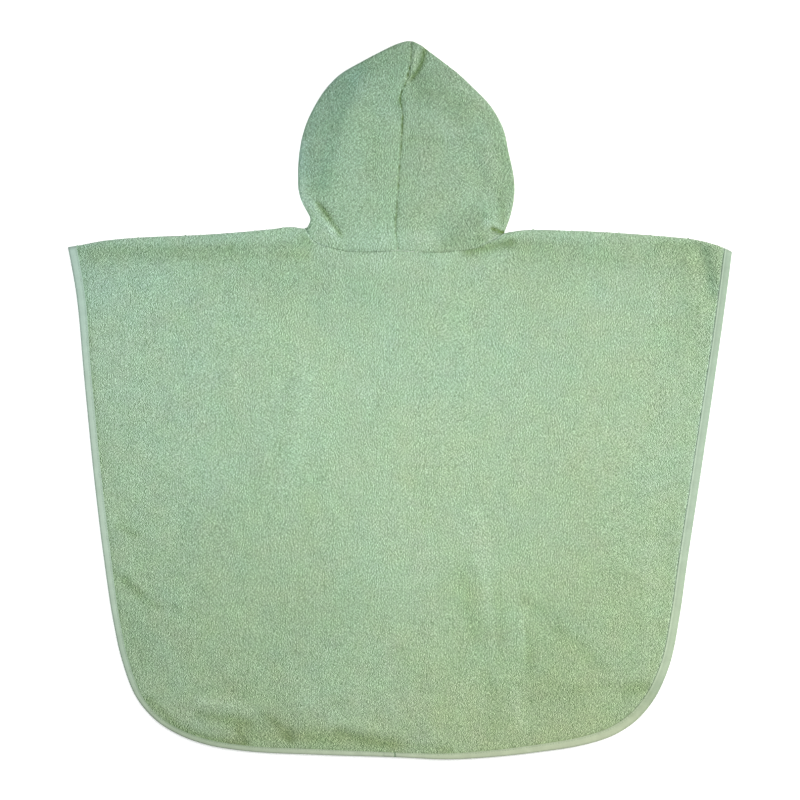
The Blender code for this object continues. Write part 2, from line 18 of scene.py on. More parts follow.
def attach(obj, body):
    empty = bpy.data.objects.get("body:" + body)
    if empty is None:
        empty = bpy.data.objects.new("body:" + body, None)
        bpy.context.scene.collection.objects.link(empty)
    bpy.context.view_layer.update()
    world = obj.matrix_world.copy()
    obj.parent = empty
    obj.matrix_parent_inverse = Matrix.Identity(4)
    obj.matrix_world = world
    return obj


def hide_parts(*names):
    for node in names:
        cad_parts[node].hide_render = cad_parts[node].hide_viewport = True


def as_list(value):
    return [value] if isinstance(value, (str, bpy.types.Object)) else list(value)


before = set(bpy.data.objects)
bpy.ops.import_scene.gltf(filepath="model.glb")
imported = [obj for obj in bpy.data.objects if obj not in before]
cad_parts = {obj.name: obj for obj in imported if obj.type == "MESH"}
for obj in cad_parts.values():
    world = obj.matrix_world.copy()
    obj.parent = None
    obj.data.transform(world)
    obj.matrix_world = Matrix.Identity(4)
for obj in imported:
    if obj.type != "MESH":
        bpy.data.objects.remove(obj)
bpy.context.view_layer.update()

# ---------------------------------------------------------------------------------------------
# Front panel
# The front of the poncho, cut in one from terry towelling. It lies undermost, with its outer
# face on the floor, and its sides and hem run into the tape. Its hidden loops are drawn larger.

MM = 0.001
WELD = 0.003 * MM
FACING = 0.2  # a surface whose normal rises less than this is an edge of the cloth
PILE = 0.8 * MM  # how far the loops stand above the ground weave
TERRY = 3.0 * MM  # the towelling's thickness over the loops of both faces
TERRY_BOUND = 1.0 * MM  # the same, crushed by the stitching inside the tape
TAPE = 0.8 * MM
GAP = 0.3 * MM
CHANNEL = TAPE + GAP  # depth at which the towelling's edge sits in the tape
# Visible width of the tape in mm, by the turn in degrees about the middle of the body: down the
# left side, along the hem and up the right side
TAPE_WIDTHS = (
    (145, 10.0), (151, 9.9), (157, 8.7), (192, 8.7), (202, 7.8), (216, 7.3), (222, 5.7), (228, 6.2),
    (250, 6.6), (260, 6.2), (270, 5.5), (281, 7.1), (291, 8.2), (298, 8.9), (309, 10.2), (315, 10.9),
    (320, 10.8), (330, 10.2), (367, 10.1), (376, 9.8), (384, 9.1), (396, 9.1),
)
BODY_MIDDLE = (0.0, -0.1)
LOFT = 1.5 * MM  # stretch beside the tape over which the towelling gets back its loft
NOSE = 3.5 * MM  # rounding along a shoulder seam
NOSE_EDGE = 0.5 * MM
NOSE_DEPTHS = tuple(NOSE * share for share in (0.08, 0.3, 0.65, 1.1))
EDGE_STEP = 4.0 * MM
FRONT_GRID = 6.0 * MM
FRONT_WAVE = 0.12 * MM
TAPE_CLEAR = 0.6 * MM  # the loops end this far from the tape
HIDDEN_SPREAD = 1.5  # loops out of sight stand this much further apart
# Corners of the pieces, in mm across and up
CORNERS = {
    "left tip": (-382, 176),
    "right tip": (382, 171),
    "left neck": (-108.5, 197),
    "right neck": (120, 192.5),
    "nape": (-2.5, 172.2),
    "throat": (0, 121),
    "peak": (12.5, 413.4),
    "forehead": (10, 346),
}


def rims(node, side):
    """Closed outlines of the parts of a CAD node that face up (side 1) or down (-1), highest first.

    Each runs anticlockwise as seen from above.
    """
    shape = bmesh.new()
    shape.from_mesh(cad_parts[node].data)
    bmesh.ops.remove_doubles(shape, verts=shape.verts, dist=WELD)
    shape.normal_update()
    facing = {face for face in shape.faces if side * face.normal.z > FACING}
    outlines = []
    while facing:
        part = {facing.pop()}
        reached = list(part)
        while reached:
            beside = {other for edge in reached.pop().edges for other in edge.link_faces} & facing
            facing -= beside
            part |= beside
            reached.extend(beside)
        onward = {}
        for face in part:
            for corner in face.loops:
                if corner.link_loop_radial_next.face not in part:
                    onward[corner.vert] = corner.link_loop_next.vert
        ring = [next(iter(onward))]
        while (following := onward[ring[-1]]) is not ring[0] and len(ring) <= len(onward):
            ring.append(following)
        if len(ring) > 3:
            outlines.append(np.array([corner.co[:] for corner in ring])[::side])
    shape.free()
    return sorted(outlines, key=lambda outline: -outline[:, 2].mean())


def runs(outline, names):
    """The stretches of an outline between neighbouring corners, by the names of both ends."""
    at = {}
    for name in names:
        away = np.linalg.norm(outline[:, :2] - np.array(CORNERS[name]) * MM, axis=1)
        at[name] = int(away.argmin())
    order = sorted(at, key=at.get)
    found = {}
    for start, end in zip(order, order[1:] + order[:1]):
        count = (at[end] - at[start]) % len(outline)
        stretch = outline[(at[start] + np.arange(count + 1)) % len(outline), :2]
        found[start, end] = stretch
        found[end, start] = stretch[::-1]
    return found


def smooth_line(points, spacing=MM):
    """Closely spaced samples of a smooth curve through the points."""
    steps = np.diff(points, axis=0)
    lengths = np.linalg.norm(steps, axis=1)[:, None]
    slopes = steps / lengths
    middle = (slopes[1:] * lengths[:-1] + slopes[:-1] * lengths[1:]) / (lengths[1:] + lengths[:-1])
    tangents = np.vstack([slopes[:1], middle, slopes[-1:]])
    samples = []
    for start, end, length, leaving, arriving in zip(points, points[1:], lengths, tangents, tangents[1:]):
        t = np.arange(0.0, 1.0, spacing / length[0])[:, None]
        samples.append(
            (2 * t**3 - 3 * t**2 + 1) * start
            + (t**3 - 2 * t**2 + t) * length * leaving
            + (3 * t**2 - 2 * t**3) * end
            + (t**3 - t**2) * length * arriving
        )
    return np.vstack([*samples, points[-1:]])


def lengths_along(line):
    """How far along a line each of its points lies."""
    return np.concatenate([[0.0], np.cumsum(np.linalg.norm(np.diff(line, axis=0), axis=1))])


def at_lengths(line, wanted):
    """Points of a line at the wanted lengths along it."""
    along = lengths_along(line)
    return np.column_stack([np.interp(wanted, along, line[:, axis]) for axis in (0, 1)])


def stations(line, step):
    """Evenly spaced points along a line, ends included."""
    whole = lengths_along(line)[-1]
    return at_lengths(line, np.linspace(0.0, whole, max(2, round(whole / step) + 1)))


def leftward(path, first=None, last=None):
    """The vector at each station that shifts a path one unit to its left, mitred at bends.

    first and last aim the two end vectors along an edge that the path meets at a slant.
    """
    steps = np.diff(path, axis=0)
    normals = np.column_stack([-steps[:, 1], steps[:, 0]])
    normals /= np.linalg.norm(normals, axis=1)[:, None]
    before = np.vstack([normals[:1], normals])
    after = np.vstack([normals, normals[-1:]])
    vectors = before + after
    if first is not None:
        vectors[0], vectors[-1] = first, last
    return vectors / (vectors * after).sum(axis=1)[:, None]


def in_batches(measure):
    """Takes a long row of points through a measure a few thousand at a time, to spare memory."""
    batch = 4096

    def measured(points, line):
        points = np.asarray(points)
        return np.concatenate([measure(points[i : i + batch], line) for i in range(0, len(points), batch)])

    return measured


@in_batches
def distance(points, path):
    """How far each point lies from a path of straight pieces."""
    points = points[:, None, :]
    start = path[None, :-1]
    step = path[None, 1:] - start
    along = ((points - start) * step).sum(axis=2) / (step**2).sum(axis=2)
    nearest = start + np.clip(along, 0.0, 1.0)[:, :, None] * step
    return np.linalg.norm(points - nearest, axis=2).min(axis=1)


@in_batches
def inside(points, rim):
    """Whether each point lies within a closed rim."""
    start = rim[None]
    end = np.roll(rim, -1, axis=0)[None]
    points = points[:, None, :]
    spans = (start[..., 1] > points[..., 1]) != (end[..., 1] > points[..., 1])
    height = np.where(spans, end[..., 1] - start[..., 1], 1.0)
    share = (points[..., 1] - start[..., 1]) / height
    crossing = start[..., 0] + share * (end[..., 0] - start[..., 0])
    return (spans & (crossing > points[..., 0])).sum(axis=1) % 2 == 1


def rise(values, width):
    """0 at an edge, easing up to 1 at the given width from it."""
    t = np.clip(values / width, 0.0, 1.0)
    return t * t * (3.0 - 2.0 * t)


def rounding(values, radius):
    """0 at an edge, climbing to 1 at the given radius as a quarter circle does."""
    t = np.clip(values / radius, 0.0, 1.0)
    return np.sqrt(1.0 - (1.0 - t) ** 2)


def near(away, width):
    """1 on a line, fading as a bell does to nothing about twice the width from it."""
    return np.exp(-((away / width) ** 2))


def turn_of(points):
    """Where each point lies round the body, in degrees: neck 90, left side 180, hem 270, right side 360."""
    across, up = (points[:, :2] - BODY_MIDDLE).T
    turn = np.degrees(np.arctan2(up, across)) % 360
    return np.where(turn < 90, turn + 360, turn)


def read(table, at):
    """Values between the rows of a table of two columns."""
    return np.interp(at, *np.transpose(table))


def tape_width(points):
    """Visible width of the tape that binds the body."""
    return read(TAPE_WIDTHS, turn_of(points)) * MM


def past_tape(points, bound):
    """How far each point of a panel lies inward of the tape along its bound edge."""
    return distance(points, bound) + CHANNEL - tape_width(points)


# Unevenness of cloth: sums of smooth random waves between two wavelengths, the same each run.
FIELD_SIDE = 1.024
FIELD_CELL = 2.0 * MM


def unevenness(seed, shortest, longest, stretch=1.0):
    """A square field of smooth random heights with a spread of 1, and waves of the given lengths.

    Stretch makes the waves longer across the garment than up it.
    """
    count = round(FIELD_SIDE / FIELD_CELL)
    white = np.fft.rfft2(np.random.default_rng(seed).standard_normal((count, count)))
    across = np.fft.rfftfreq(count, FIELD_CELL)[None]
    up = np.fft.fftfreq(count, FIELD_CELL)[:, None]
    waves = np.hypot(across * stretch, up)
    band = np.exp(-((waves * shortest) ** 2)) * (1.0 - np.exp(-((waves * longest) ** 2)))
    field = np.fft.irfft2(white * band, s=(count, count))
    return field / field.std()


def sample(field, points):
    """The field's values at points on the plan, blended between its cells."""
    place = (np.asarray(points)[:, :2] + FIELD_SIDE / 2) / FIELD_CELL
    low = np.floor(place).astype(int)
    part = place - low
    column, row = np.clip(low.T, 0, len(field) - 2)
    across, up = part.T
    lower = field[row, column] * (1 - across) + field[row, column + 1] * across
    upper = field[row + 1, column] * (1 - across) + field[row + 1, column + 1] * across
    return lower * (1 - up) + upper * up


# What the points that fill an outline keep between them: a row keeps this share of its depth from the
# rim, a line this much from the last row, and the grid these shares of a cell from the row and the lines
ROW_SPACE = 0.9
LINE_SPACE = 0.4 * MM
GRID_SPACE = 0.5
GRID_LINE_SPACE = 0.35
SLIVER = 0.01 * MM * MM  # triangles with less area than this are left out
MERGE = 0.001 * MM


def fill(rim, depths, grid, lines=()):
    """Points inside a closed rim, the rim itself first, and the triangles between them.

    Rows of points follow the rim at the given depths, and the lines; a staggered grid fills the rest.
    """
    closed = np.vstack([rim, rim[:1]])
    into_cloth = leftward(closed)[:-1]
    rows = [rim]
    for depth in depths:
        row = rim + depth * into_cloth
        rows.append(row[(distance(row, closed) > ROW_SPACE * depth) & inside(row, rim)])
    for line in lines:
        rows.append(line[(distance(line, closed) > depths[-1] + LINE_SPACE) & inside(line, rim)])
    low, high = rim.min(axis=0), rim.max(axis=0)
    row_height = grid * math.sqrt(3) / 2
    row, column = np.indices(((high - low)[::-1] / (row_height, grid)).astype(int) + 1)
    lattice = np.column_stack(
        [(low[0] + (column + row % 2 / 2) * grid).ravel(), (low[1] + row * row_height).ravel()]
    )
    lattice = lattice[inside(lattice, rim)]
    lattice = lattice[distance(lattice, closed) > depths[-1] + GRID_SPACE * grid]
    for line in lines:
        lattice = lattice[distance(lattice, line) > GRID_LINE_SPACE * grid]
    points = np.vstack([*rows, lattice])
    edges = [(number, (number + 1) % len(rim)) for number in range(len(rim))]
    _, _, triangles, sources, _, _ = geometry.delaunay_2d_cdt(
        [Vector(point) for point in points], edges, [], 0, MERGE, True
    )
    origin = np.array([ids[0] for ids in sources])
    triangles = origin[np.array(triangles)]
    corners = points[triangles]
    sides = corners[:, 1:] - corners[:, :1]
    area = np.abs(sides[:, 0, 0] * sides[:, 1, 1] - sides[:, 0, 1] * sides[:, 1, 0])
    kept = (area > SLIVER) & inside(corners.mean(axis=1), rim)
    return points, triangles[kept]


def wall(lower, upper):
    """Quads between two rows of points with the same count, as a block of points and faces."""
    count = len(lower)
    first = np.arange(count - 1)
    quads = np.column_stack([first, first + 1, first + 1 + count, first + count])
    return np.vstack([lower, upper]), quads


def raised(points, heights):
    """Points of the plan at their heights."""
    return np.column_stack([points, heights])


def placed(name, data):
    """A new object in the scene with the given mesh, light or camera."""
    made = bpy.data.objects.new(name, data)
    bpy.context.scene.collection.objects.link(made)
    return made


def finished(name, mesh, material, slot, colours):
    """A mesh as a piece that rides on the garment's body.

    colours are its painted shading: the shares of red, green and blue that its cloth keeps from point to
    point, as painted light and shade.
    """
    mesh.shade_smooth()
    mesh.materials.append(material)
    # Painted shading: painted light and shade kept at each point, which the materials multiply into the
    # cloth's colour
    painted_shading = mesh.attributes.new("painted_shading", "FLOAT_COLOR", "POINT")
    painted_shading.data.foreach_set("color", np.column_stack([colours, np.ones(len(colours))]).ravel())
    piece = placed(name, mesh)
    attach(piece, "root")
    return piece


def sewn_piece(name, blocks, material, slot, node, painted_shading):
    """One closed piece welded from blocks of points and faces, in place of a node's plain solid."""
    shape = bmesh.new()
    for points, faces in blocks:
        corners = [shape.verts.new(point) for point in points]
        for face in faces:
            shape.faces.new([corners[number] for number in face])
    bmesh.ops.remove_doubles(shape, verts=shape.verts, dist=WELD)
    bmesh.ops.dissolve_degenerate(shape, edges=shape.edges, dist=WELD)
    bmesh.ops.recalc_face_normals(shape, faces=shape.faces)
    mesh = bpy.data.meshes.new(name)
    shape.to_mesh(mesh)
    shape.free()
    colours = painted_shading(np.array([corner.co[:] for corner in mesh.vertices]))
    piece = finished(name, mesh, material, slot, colours)
    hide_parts(node)
    return piece


Loop = namedtuple("Loop", "length width height lean")
LOOP_FACES = ((0, 1, 6), (1, 2, 7), (1, 7, 6), (2, 3, 7), (3, 4, 7), (4, 5, 6), (4, 6, 7), (5, 0, 6))
LOOP_ROOT = 0.25  # share of its height by which a loop's foot is sunk
LOOP_CREST = 0.4  # length of a loop's top, as a share of its foot's
LOOP_VARIETY = 0.25  # how much loops of one kind differ


def scatter(name, centres, normals, headings, size, material, slot, painted_shading, variety, seed=1, share=1.0):
    """Many small raised loops of yarn in one mesh: each a low arch, wider in the middle.

    size gives a loop's length, width, height and how far its top leans over its foot.
    """
    random = np.random.default_rng(seed)
    count = len(centres)
    scale = 1.0 + variety * random.uniform(-1, 1, (4, count, 1))
    scale *= np.broadcast_to(share, count)[None, :, None]
    normals = normals / np.linalg.norm(normals, axis=1)[:, None]
    headings = headings - normals * (headings * normals).sum(axis=1)[:, None]
    headings /= np.linalg.norm(headings, axis=1)[:, None]
    aside = np.cross(normals, headings)
    root = centres - LOOP_ROOT * size.height * normals
    end = headings * size.length / 2 * scale[0]
    side = aside * size.width / 2 * scale[1]
    top = centres + normals * size.height * scale[2] + headings * size.lean * scale[3]
    foot = [root - end, root - end / 2 - side, root + end / 2 - side]
    foot += [root + end, root + end / 2 + side, root - end / 2 + side]
    corners = np.stack([*foot, top - end * LOOP_CREST, top + end * LOOP_CREST], axis=1)
    corners[..., 2] = np.maximum(corners[..., 2], 0.0)
    mesh = bpy.data.meshes.new(name)
    mesh.vertices.add(8 * count)
    mesh.vertices.foreach_set("co", corners.ravel())
    numbers = (np.array(LOOP_FACES)[None] + 8 * np.arange(count)[:, None, None]).ravel()
    mesh.loops.add(len(numbers))
    mesh.loops.foreach_set("vertex_index", numbers)
    mesh.polygons.add(len(numbers) // 3)
    mesh.polygons.foreach_set("loop_start", np.arange(0, len(numbers), 3))
    mesh.update(calc_edges=True)
    return finished(name, mesh, material, slot, np.repeat(painted_shading(centres), 8, axis=0))


def srgb(code):
    """A hex colour as the linear values that Blender's sockets take."""
    parts = [int(code[i : i + 2], 16) / 255 for i in (0, 2, 4)]
    return (*[p / 12.92 if p <= 0.04045 else ((p + 0.055) / 1.055) ** 2.4 for p in parts], 1.0)


def add(tree, kind, inputs=(), output=0, **settings):
    """Adds a shader node with its settings and its inputs, by name or in order, as values or links.

    Gives back one of its outputs.
    """
    made = tree.nodes.new(kind)
    for name, value in settings.items():
        setattr(made, name, value)
    for name, value in inputs.items() if isinstance(inputs, dict) else enumerate(inputs):
        if isinstance(value, bpy.types.NodeSocket):
            tree.links.new(value, made.inputs[name])
        else:
            made.inputs[name].default_value = value
    return made.outputs[output] if len(made.outputs) else None


def new_material(name, look):
    """A material from the function that adds its nodes and gives back its surface."""
    material = bpy.data.materials.new(name)
    material.use_nodes = True
    material.node_tree.nodes.clear()
    surface = add(material.node_tree, "ShaderNodeBsdfPrincipled", look(material.node_tree))
    add(material.node_tree, "ShaderNodeOutputMaterial", {"Surface": surface})
    return material


def layered(tree, colour, layers):
    """A colour with others laid on it in turn: how each blends, how much of it, and its colour."""
    for blend, share, over in layers:
        inputs = {0: share, 6: colour, 7: over}
        colour = add(tree, "ShaderNodeMix", inputs, 2, data_type="RGBA", blend_type=blend)
    return colour


def patches(tree, place, size, low, high, reach=0.2, detail=2.0, roughness=0.5):
    """Cloudy patches of a size across and up, whose values run from low to high.

    reach is how far from its middle the noise is followed, so a smaller one gives harder patches.
    """
    scale = (1 / size[0], 1 / size[1], 1 / size[0])
    place = add(tree, "ShaderNodeMapping", {"Vector": place, "Scale": scale})
    inputs = {"Vector": place, "Scale": 1.0, "Detail": detail, "Roughness": roughness}
    noise = add(tree, "ShaderNodeTexNoise", inputs)
    return add(tree, "ShaderNodeMapRange", (noise, 0.5 - reach, 0.5 + reach, low, high))


# Sizes across and up of the marks on the pile and the weave under it. Real yarn is half as wide as
# YARN, and the threads of the weave lie three times as close as WEAVE: both are too fine to show.
DYE_DRIFT = (160 * MM, 160 * MM)  # from cooler to warmer over the cloth
DYE_CLOUD = 26 * MM  # patches where the dye took a little differently
DYE_EVEN = 0.6  # share of the cloth's middle colour
DYE_CLOUDING = 0.1
NAPS = (((16 * MM, 3.2 * MM), 0.04), ((3.2 * MM, 16 * MM), 0.02))  # where it leans alike, and how that shows
YARN = (2.3 * MM, 0.95 * MM)  # single turns of yarn
YARN_REACH = 0.13
YARN_COLUMN = 2.35 * MM  # light and shade alternate from column to column of loops
COLUMN_BEND = 2.7
BANDS = math.pi / 10  # how far apart the bands of a wave texture lie at a scale of 1
YARN_DEEP = (0.25, 0.36, 0.2, 1.0)  # how much red, green and blue a turn of yarn keeps in the pile's shade
YARN_LIT = (1.75, 1.64, 1.8, 1.0)  # and on its crest
# The same where the painted shading is darker, with stronger painted light and shade on the yarn there
SHADED_DEEP = (0.05, 0.18, 0.02, 1.0)
SHADED_LIT = (1.95, 1.82, 1.98, 1.0)
SHADED = (0.97, 0.84)  # painted shading at which that sets in, and at which it is complete
WEAVE = (1.5 * MM, 1.5 * MM)
WEAVE_RELIEF = (1.6 * MM, 1.6 * MM)
TERRY_MID, TERRY_COOL, TERRY_WARM = "A0BA9D", "9DBBA2", "A4BB9A"
TERRY_SHEEN = "E9F4E4"


def towelling(tree, loops):
    """Cotton terry: dull loops of soft yarn that dye a little unevenly, over a ground weave painted darker
    as the shade between them.

    The eye sees no gloss, a faint sheen at grazing angles, and patches where the nap turns. Each turn
    of yarn carries painted light on its crest and painted shade below it, and each piece its painted
    shading.
    """
    place = add(tree, "ShaderNodeTexCoord", output="Object")
    # The painted light and shade of each piece, kept at its points
    painted_shading = add(tree, "ShaderNodeAttribute", attribute_name="painted_shading")
    drift = patches(tree, place, DYE_DRIFT, 0.0, 1.0, reach=0.15)
    dye = add(tree, "ShaderNodeTexNoise", {"Vector": place, "Scale": 1 / DYE_CLOUD, "Detail": 3.0}, "Color")
    naps = [patches(tree, place, size, 1 - depth, 1 + depth, detail=1.0) for size, depth in NAPS]
    bands = {"Vector": place, "Scale": BANDS / YARN_COLUMN, "Distortion": COLUMN_BEND}
    column = add(tree, "ShaderNodeTexWave", {**bands, "Detail": 0.0, "Detail Scale": 1.2}, "Fac")
    twists = [patches(tree, place, YARN, *ends, reach=YARN_REACH, detail=1.0) for ends in ((0, 1), (1, 0))]
    turn = layered(tree, twists[0], [("MIX", column, twists[1])])
    shaded = add(tree, "ShaderNodeMapRange", (painted_shading, *SHADED, 0.0, 1.0))
    deep = layered(tree, YARN_DEEP, [("MIX", shaded, SHADED_DEEP)])
    lit = layered(tree, YARN_LIT, [("MIX", shaded, SHADED_LIT)])
    if loops:
        island = add(tree, "ShaderNodeNewGeometry", output="Random Per Island")
        yarn = add(tree, "ShaderNodeMapRange", (island, 0.0, 1.0, 0.97, 1.05))
    else:
        # The ground weave is painted darker than the loops, as the shade between them, with flecks of its
        # threads
        yarn = patches(tree, place, WEAVE, 0.70, 0.90)
    layers = [("MIX", drift, srgb(TERRY_WARM)), ("MIX", DYE_EVEN, srgb(TERRY_MID))]
    layers += [("MULTIPLY", 1.0, over) for over in (painted_shading, *naps)]
    layers += [("SOFT_LIGHT", DYE_CLOUDING, dye)]
    layers += [("MULTIPLY", 1.0, over) for over in (layered(tree, deep, [("MIX", turn, lit)]), yarn)]
    surface = {
        "Base Color": layered(tree, srgb(TERRY_COOL), layers),
        "Roughness": 0.95,
        "Specular IOR Level": 0.15,
        "Sheen Weight": 0.12,
        "Sheen Roughness": 0.5,
        "Sheen Tint": srgb(TERRY_SHEEN),
    }
    if not loops:
        relief = patches(tree, place, WEAVE_RELIEF, 0.0, 1.0, reach=0.5)
        bump = {"Height": relief, "Strength": 0.5, "Distance": 0.5 * MM}
        surface["Normal"] = add(tree, "ShaderNodeBump", bump)
    return surface


ground_weave = new_material("terry_ground_weave", lambda tree: towelling(tree, False))
loop_yarn = new_material("terry_loops", lambda tree: towelling(tree, True))

WARP_PITCH = 2.5 * MM  # loops stand in columns this far apart
WEFT_PITCH = 3.4 * MM  # and this far apart along a column
STRAGGLE = 0.3  # share of the pitch by which a loop stands off its place at most
EDGE_ROWS = (0.12 * MM, 0.6 * MM, 1.5 * MM)  # depths of the rows of loops that turn over an edge
SHORT_REACH = 2.1 * MM  # loops this near to a seam or fold are shorter, and lie along it
SHORT_SHARE = 0.6
NAP_TURN = 0.45  # radians by which the loops turn together as the nap drifts
LOOP_TURN, SHORT_TURN = 0.5, 0.3  # and by which each turns alone, and a short one
BEYOND = 0.1  # a height beyond both faces of the garment
FRONT_LOOP = Loop(4.6 * MM, 2.4 * MM, 0.6 * MM, 0.4 * MM)
nap_drift = unevenness(11, 14 * MM, 60 * MM)
waviness = unevenness(22, 26 * MM, 90 * MM)


def pile_places(rim, spread=1.0):
    """Feet of the loops inside a rim, in staggered columns along the warp, none quite in line."""
    random = np.random.default_rng(3)
    pitch = np.array([WARP_PITCH, WEFT_PITCH]) * spread
    low, high = rim.min(axis=0), rim.max(axis=0)
    across, up = np.meshgrid(*[np.arange(a, b, step) for a, b, step in zip(low, high, pitch)])
    up = up + pitch[1] / 2 * (np.arange(up.shape[1]) % 2)
    places = np.column_stack([across.ravel(), up.ravel()])
    places += random.uniform(-STRAGGLE, STRAGGLE, places.shape) * pitch
    return places[inside(places, rim)]


def edge_places(line):
    """Feet of the loops along an edge, on its left, where the cloth turns down too steeply for columns."""
    row = stations(line, WARP_PITCH)
    return np.vstack([row + depth * leftward(row) for depth in EDGE_ROWS])


def pile(name, cloth, places, side, painted_shading, size, seed=5, short=None):
    """Loops on the upper (side 1) or lower face of a piece of cloth, at places on the plan.

    Within a few millimetres of the line short they are smaller and lie along it.
    """
    random = np.random.default_rng(seed)
    corners = [corner.co for corner in cloth.data.vertices]
    tree = BVHTree.FromPolygons(corners, [face.vertices for face in cloth.data.polygons])
    aim = Vector((0, 0, -side))
    hits = [tree.ray_cast(Vector((x, y, side * BEYOND)), aim)[:2] for x, y in places]
    hits = [(point, normal if normal.z * side > 0 else -normal) for point, normal in hits if point]
    centres = np.array([point for point, _ in hits])
    normals = np.array([normal for _, normal in hits])
    angle = math.pi / 2 + NAP_TURN * sample(nap_drift, centres) + random.normal(0, LOOP_TURN, len(centres))
    share = np.ones(len(centres))
    if short is not None:
        close = distance(centres[:, :2], short) < SHORT_REACH
        middles = (short[:-1] + short[1:]) / 2
        nearest = [int(np.abs(middles - point[:2]).sum(axis=1).argmin()) for point in centres[close]]
        steps = np.diff(short, axis=0)[nearest]
        angle[close] = np.arctan2(steps[:, 1], steps[:, 0]) + random.normal(0, SHORT_TURN, close.sum())
        share[close] = SHORT_SHARE
    headings = np.column_stack([np.cos(angle), np.sin(angle), np.zeros(len(angle))])
    feet = name, centres, normals, headings
    return scatter(*feet, size, loop_yarn, "towelling", painted_shading, LOOP_VARIETY, seed, share)


# The painted tint of the light, as shares of colour gained across the garment
HEIGHT_DRIFT = (-0.035, 0.0, 0.065)  # shares of red, green and blue gained up the garment, per half length
SIDE_DRIFT = (0.012, 0.0, -0.03)  # and towards its right
TOP_DRIFT = (0.03, 0.0, -0.01)  # the same once more over its upper half
HEM_DRIFT = (0.04, 0.0, -0.01)  # and along its hem
CORNER_DRIFT = (0.0, 0.0, -0.05)  # and over its lower right quarter
HALF_LENGTH = 0.4
DRIFT_FADE = 0.12
TONE = np.array((1.1, 0.95, 1.45))  # how much the colours change in pile painted darker or lighter
COOL = np.array((0.2, 0.0, -0.6))  # and how that alters where it looks cooler
HEM_TOP, HEM_FADE = -0.30, 0.09
CORNER_LEFT, CORNER_TOP = -0.03, -0.14


def tone(share, cool):
    """Shares of red, green and blue where the pile is painted darker or lighter, mossy or cooler."""
    return 1 + share[:, None] * (TONE + cool * COOL)


def at_hem(points):
    """1 along the hem, fading to 0 above it."""
    return rise(HEM_TOP - points[:, 1:2], HEM_FADE)


def painted_light_tint(points):
    """The painted tint of the light over the whole garment: a little cooler at the top, warmer at the hem.
    """
    across, up = points[:, :1], points[:, 1:2]
    corner = rise(across - CORNER_LEFT, DRIFT_FADE) * rise(CORNER_TOP - up, DRIFT_FADE)
    shares = (
        (up / HALF_LENGTH, HEIGHT_DRIFT),
        (across / HALF_LENGTH, SIDE_DRIFT),
        (across / HALF_LENGTH * rise(up, DRIFT_FADE), TOP_DRIFT),
        (at_hem(points), HEM_DRIFT),
        (corner, CORNER_DRIFT),
    )
    return 1.0 + sum(share * np.array(gained) for share, gained in shares)


def even(line):
    """Points along a smooth edge that are evenly spaced, as far apart as along any other."""
    return stations(smooth_line(line), EDGE_STEP)


def panel_rim(node):
    """The rim of a body panel, and its stretches: both shoulders, the bound edge and the neckline."""
    corners = ("right tip", "right neck", "left neck", "left tip")
    parts = runs(rims(node, 1)[0], corners)
    names = ("right shoulder", "neck", "left shoulder", "bound")
    stretches = {
        name: even(parts[start, end]) for name, start, end in zip(names, corners, corners[1:] + corners[:1])
    }
    return np.vstack([stretch[:-1] for stretch in stretches.values()]), stretches


def shoulder_distance(points, edges):
    """How far each point lies from the nearer shoulder seam."""
    return np.minimum(*[distance(points, edges[side + " shoulder"]) for side in ("left", "right")])


def crushed(low, high, past, base):
    """Heights of a wall that is crushed flat inside the tape and lofts up past its inner edge."""
    lofted = rise(past, LOFT)
    flat = base + CHANNEL
    return lofted * low + (1 - lofted) * flat, lofted * high + (1 - lofted) * (flat + TERRY_BOUND)


def panel(name, node, rim, points, triangles, low, high, painted_shading):
    """A body panel: a closed shell of towelling between the heights of its two faces."""
    ring = [*range(len(rim)), 0]
    under, over = raised(points, low), raised(points, high)
    blocks = [(under, triangles), (over, triangles), wall(under[ring], over[ring])]
    return sewn_piece(name, blocks, ground_weave, "towelling", node, painted_shading)


front_rim, front_edges = panel_rim("front_panel")
points, triangles = fill(front_rim, NOSE_DEPTHS, FRONT_GRID)
from_shoulder = shoulder_distance(points, front_edges)
high = np.full(len(points), TERRY)
low = TERRY - NOSE_EDGE - (TERRY - NOSE_EDGE - PILE) * rounding(from_shoulder, NOSE)
low += FRONT_WAVE * np.abs(sample(waviness, points)) * rise(from_shoulder, 2 * NOSE)
low, high = crushed(low, high, past_tape(points, front_edges["bound"]), 0.0)
front = panel("front_towelling", "front_panel", front_rim, points, triangles, low, high, painted_light_tint)
places = pile_places(front_rim, HIDDEN_SPREAD)
places = places[past_tape(places, front_edges["bound"]) > TAPE_CLEAR]
front_pile = pile("front_loops", front, places, -1, painted_light_tint, FRONT_LOOP)

# ---------------------------------------------------------------------------------------------
# Back panel
# The back of the poncho, cut like the front with a shallower neckline, and sewn to it along the
# shoulders. It lies uppermost, with a few soft folds left from being spread out by hand.

TAPE_STACK = 2 * CHANNEL + TERRY_BOUND
UPPER = TAPE_STACK + GAP  # height of the back panel's underside
CREASE_FADE = 22.0 * MM
SHOULDER_SWELL = 0.9 * MM  # seam allowance inside the shoulder
SWELL_WIDTH = 16.0 * MM
FURROW_WIDTH = 3.5 * MM
NECK_FURROW = 0.4 * MM
NECK_CLEAR = 0.7 * MM  # the loops end this far from the neck seam
THINNEST = 0.4 * MM
BACK_GRID = 4.3 * MM
BACK_WAVE = 0.22 * MM
LUMP = 0.09 * MM
BACK_LOOP = Loop(3.4 * MM, 1.7 * MM, 0.38 * MM, 0.3 * MM)
RIGHT_START, RIGHT_FADE = 0.25, 0.05
# Painted light and shade on the loops beside the tape: how much lighter they are painted, how much more so
# on the right, and over what width
TAPE_GLOW = ((-0.08, 0.30, 1.8 * MM), (0.0, 0.28, 0.8 * MM))
SHOULDER_HIGHLIGHT = (0.07, 0.03, 0.10)  # shares gained by a painted highlight where fibres stand out round the shoulder seam
SHOULDER_WIDTH = 1.5 * MM
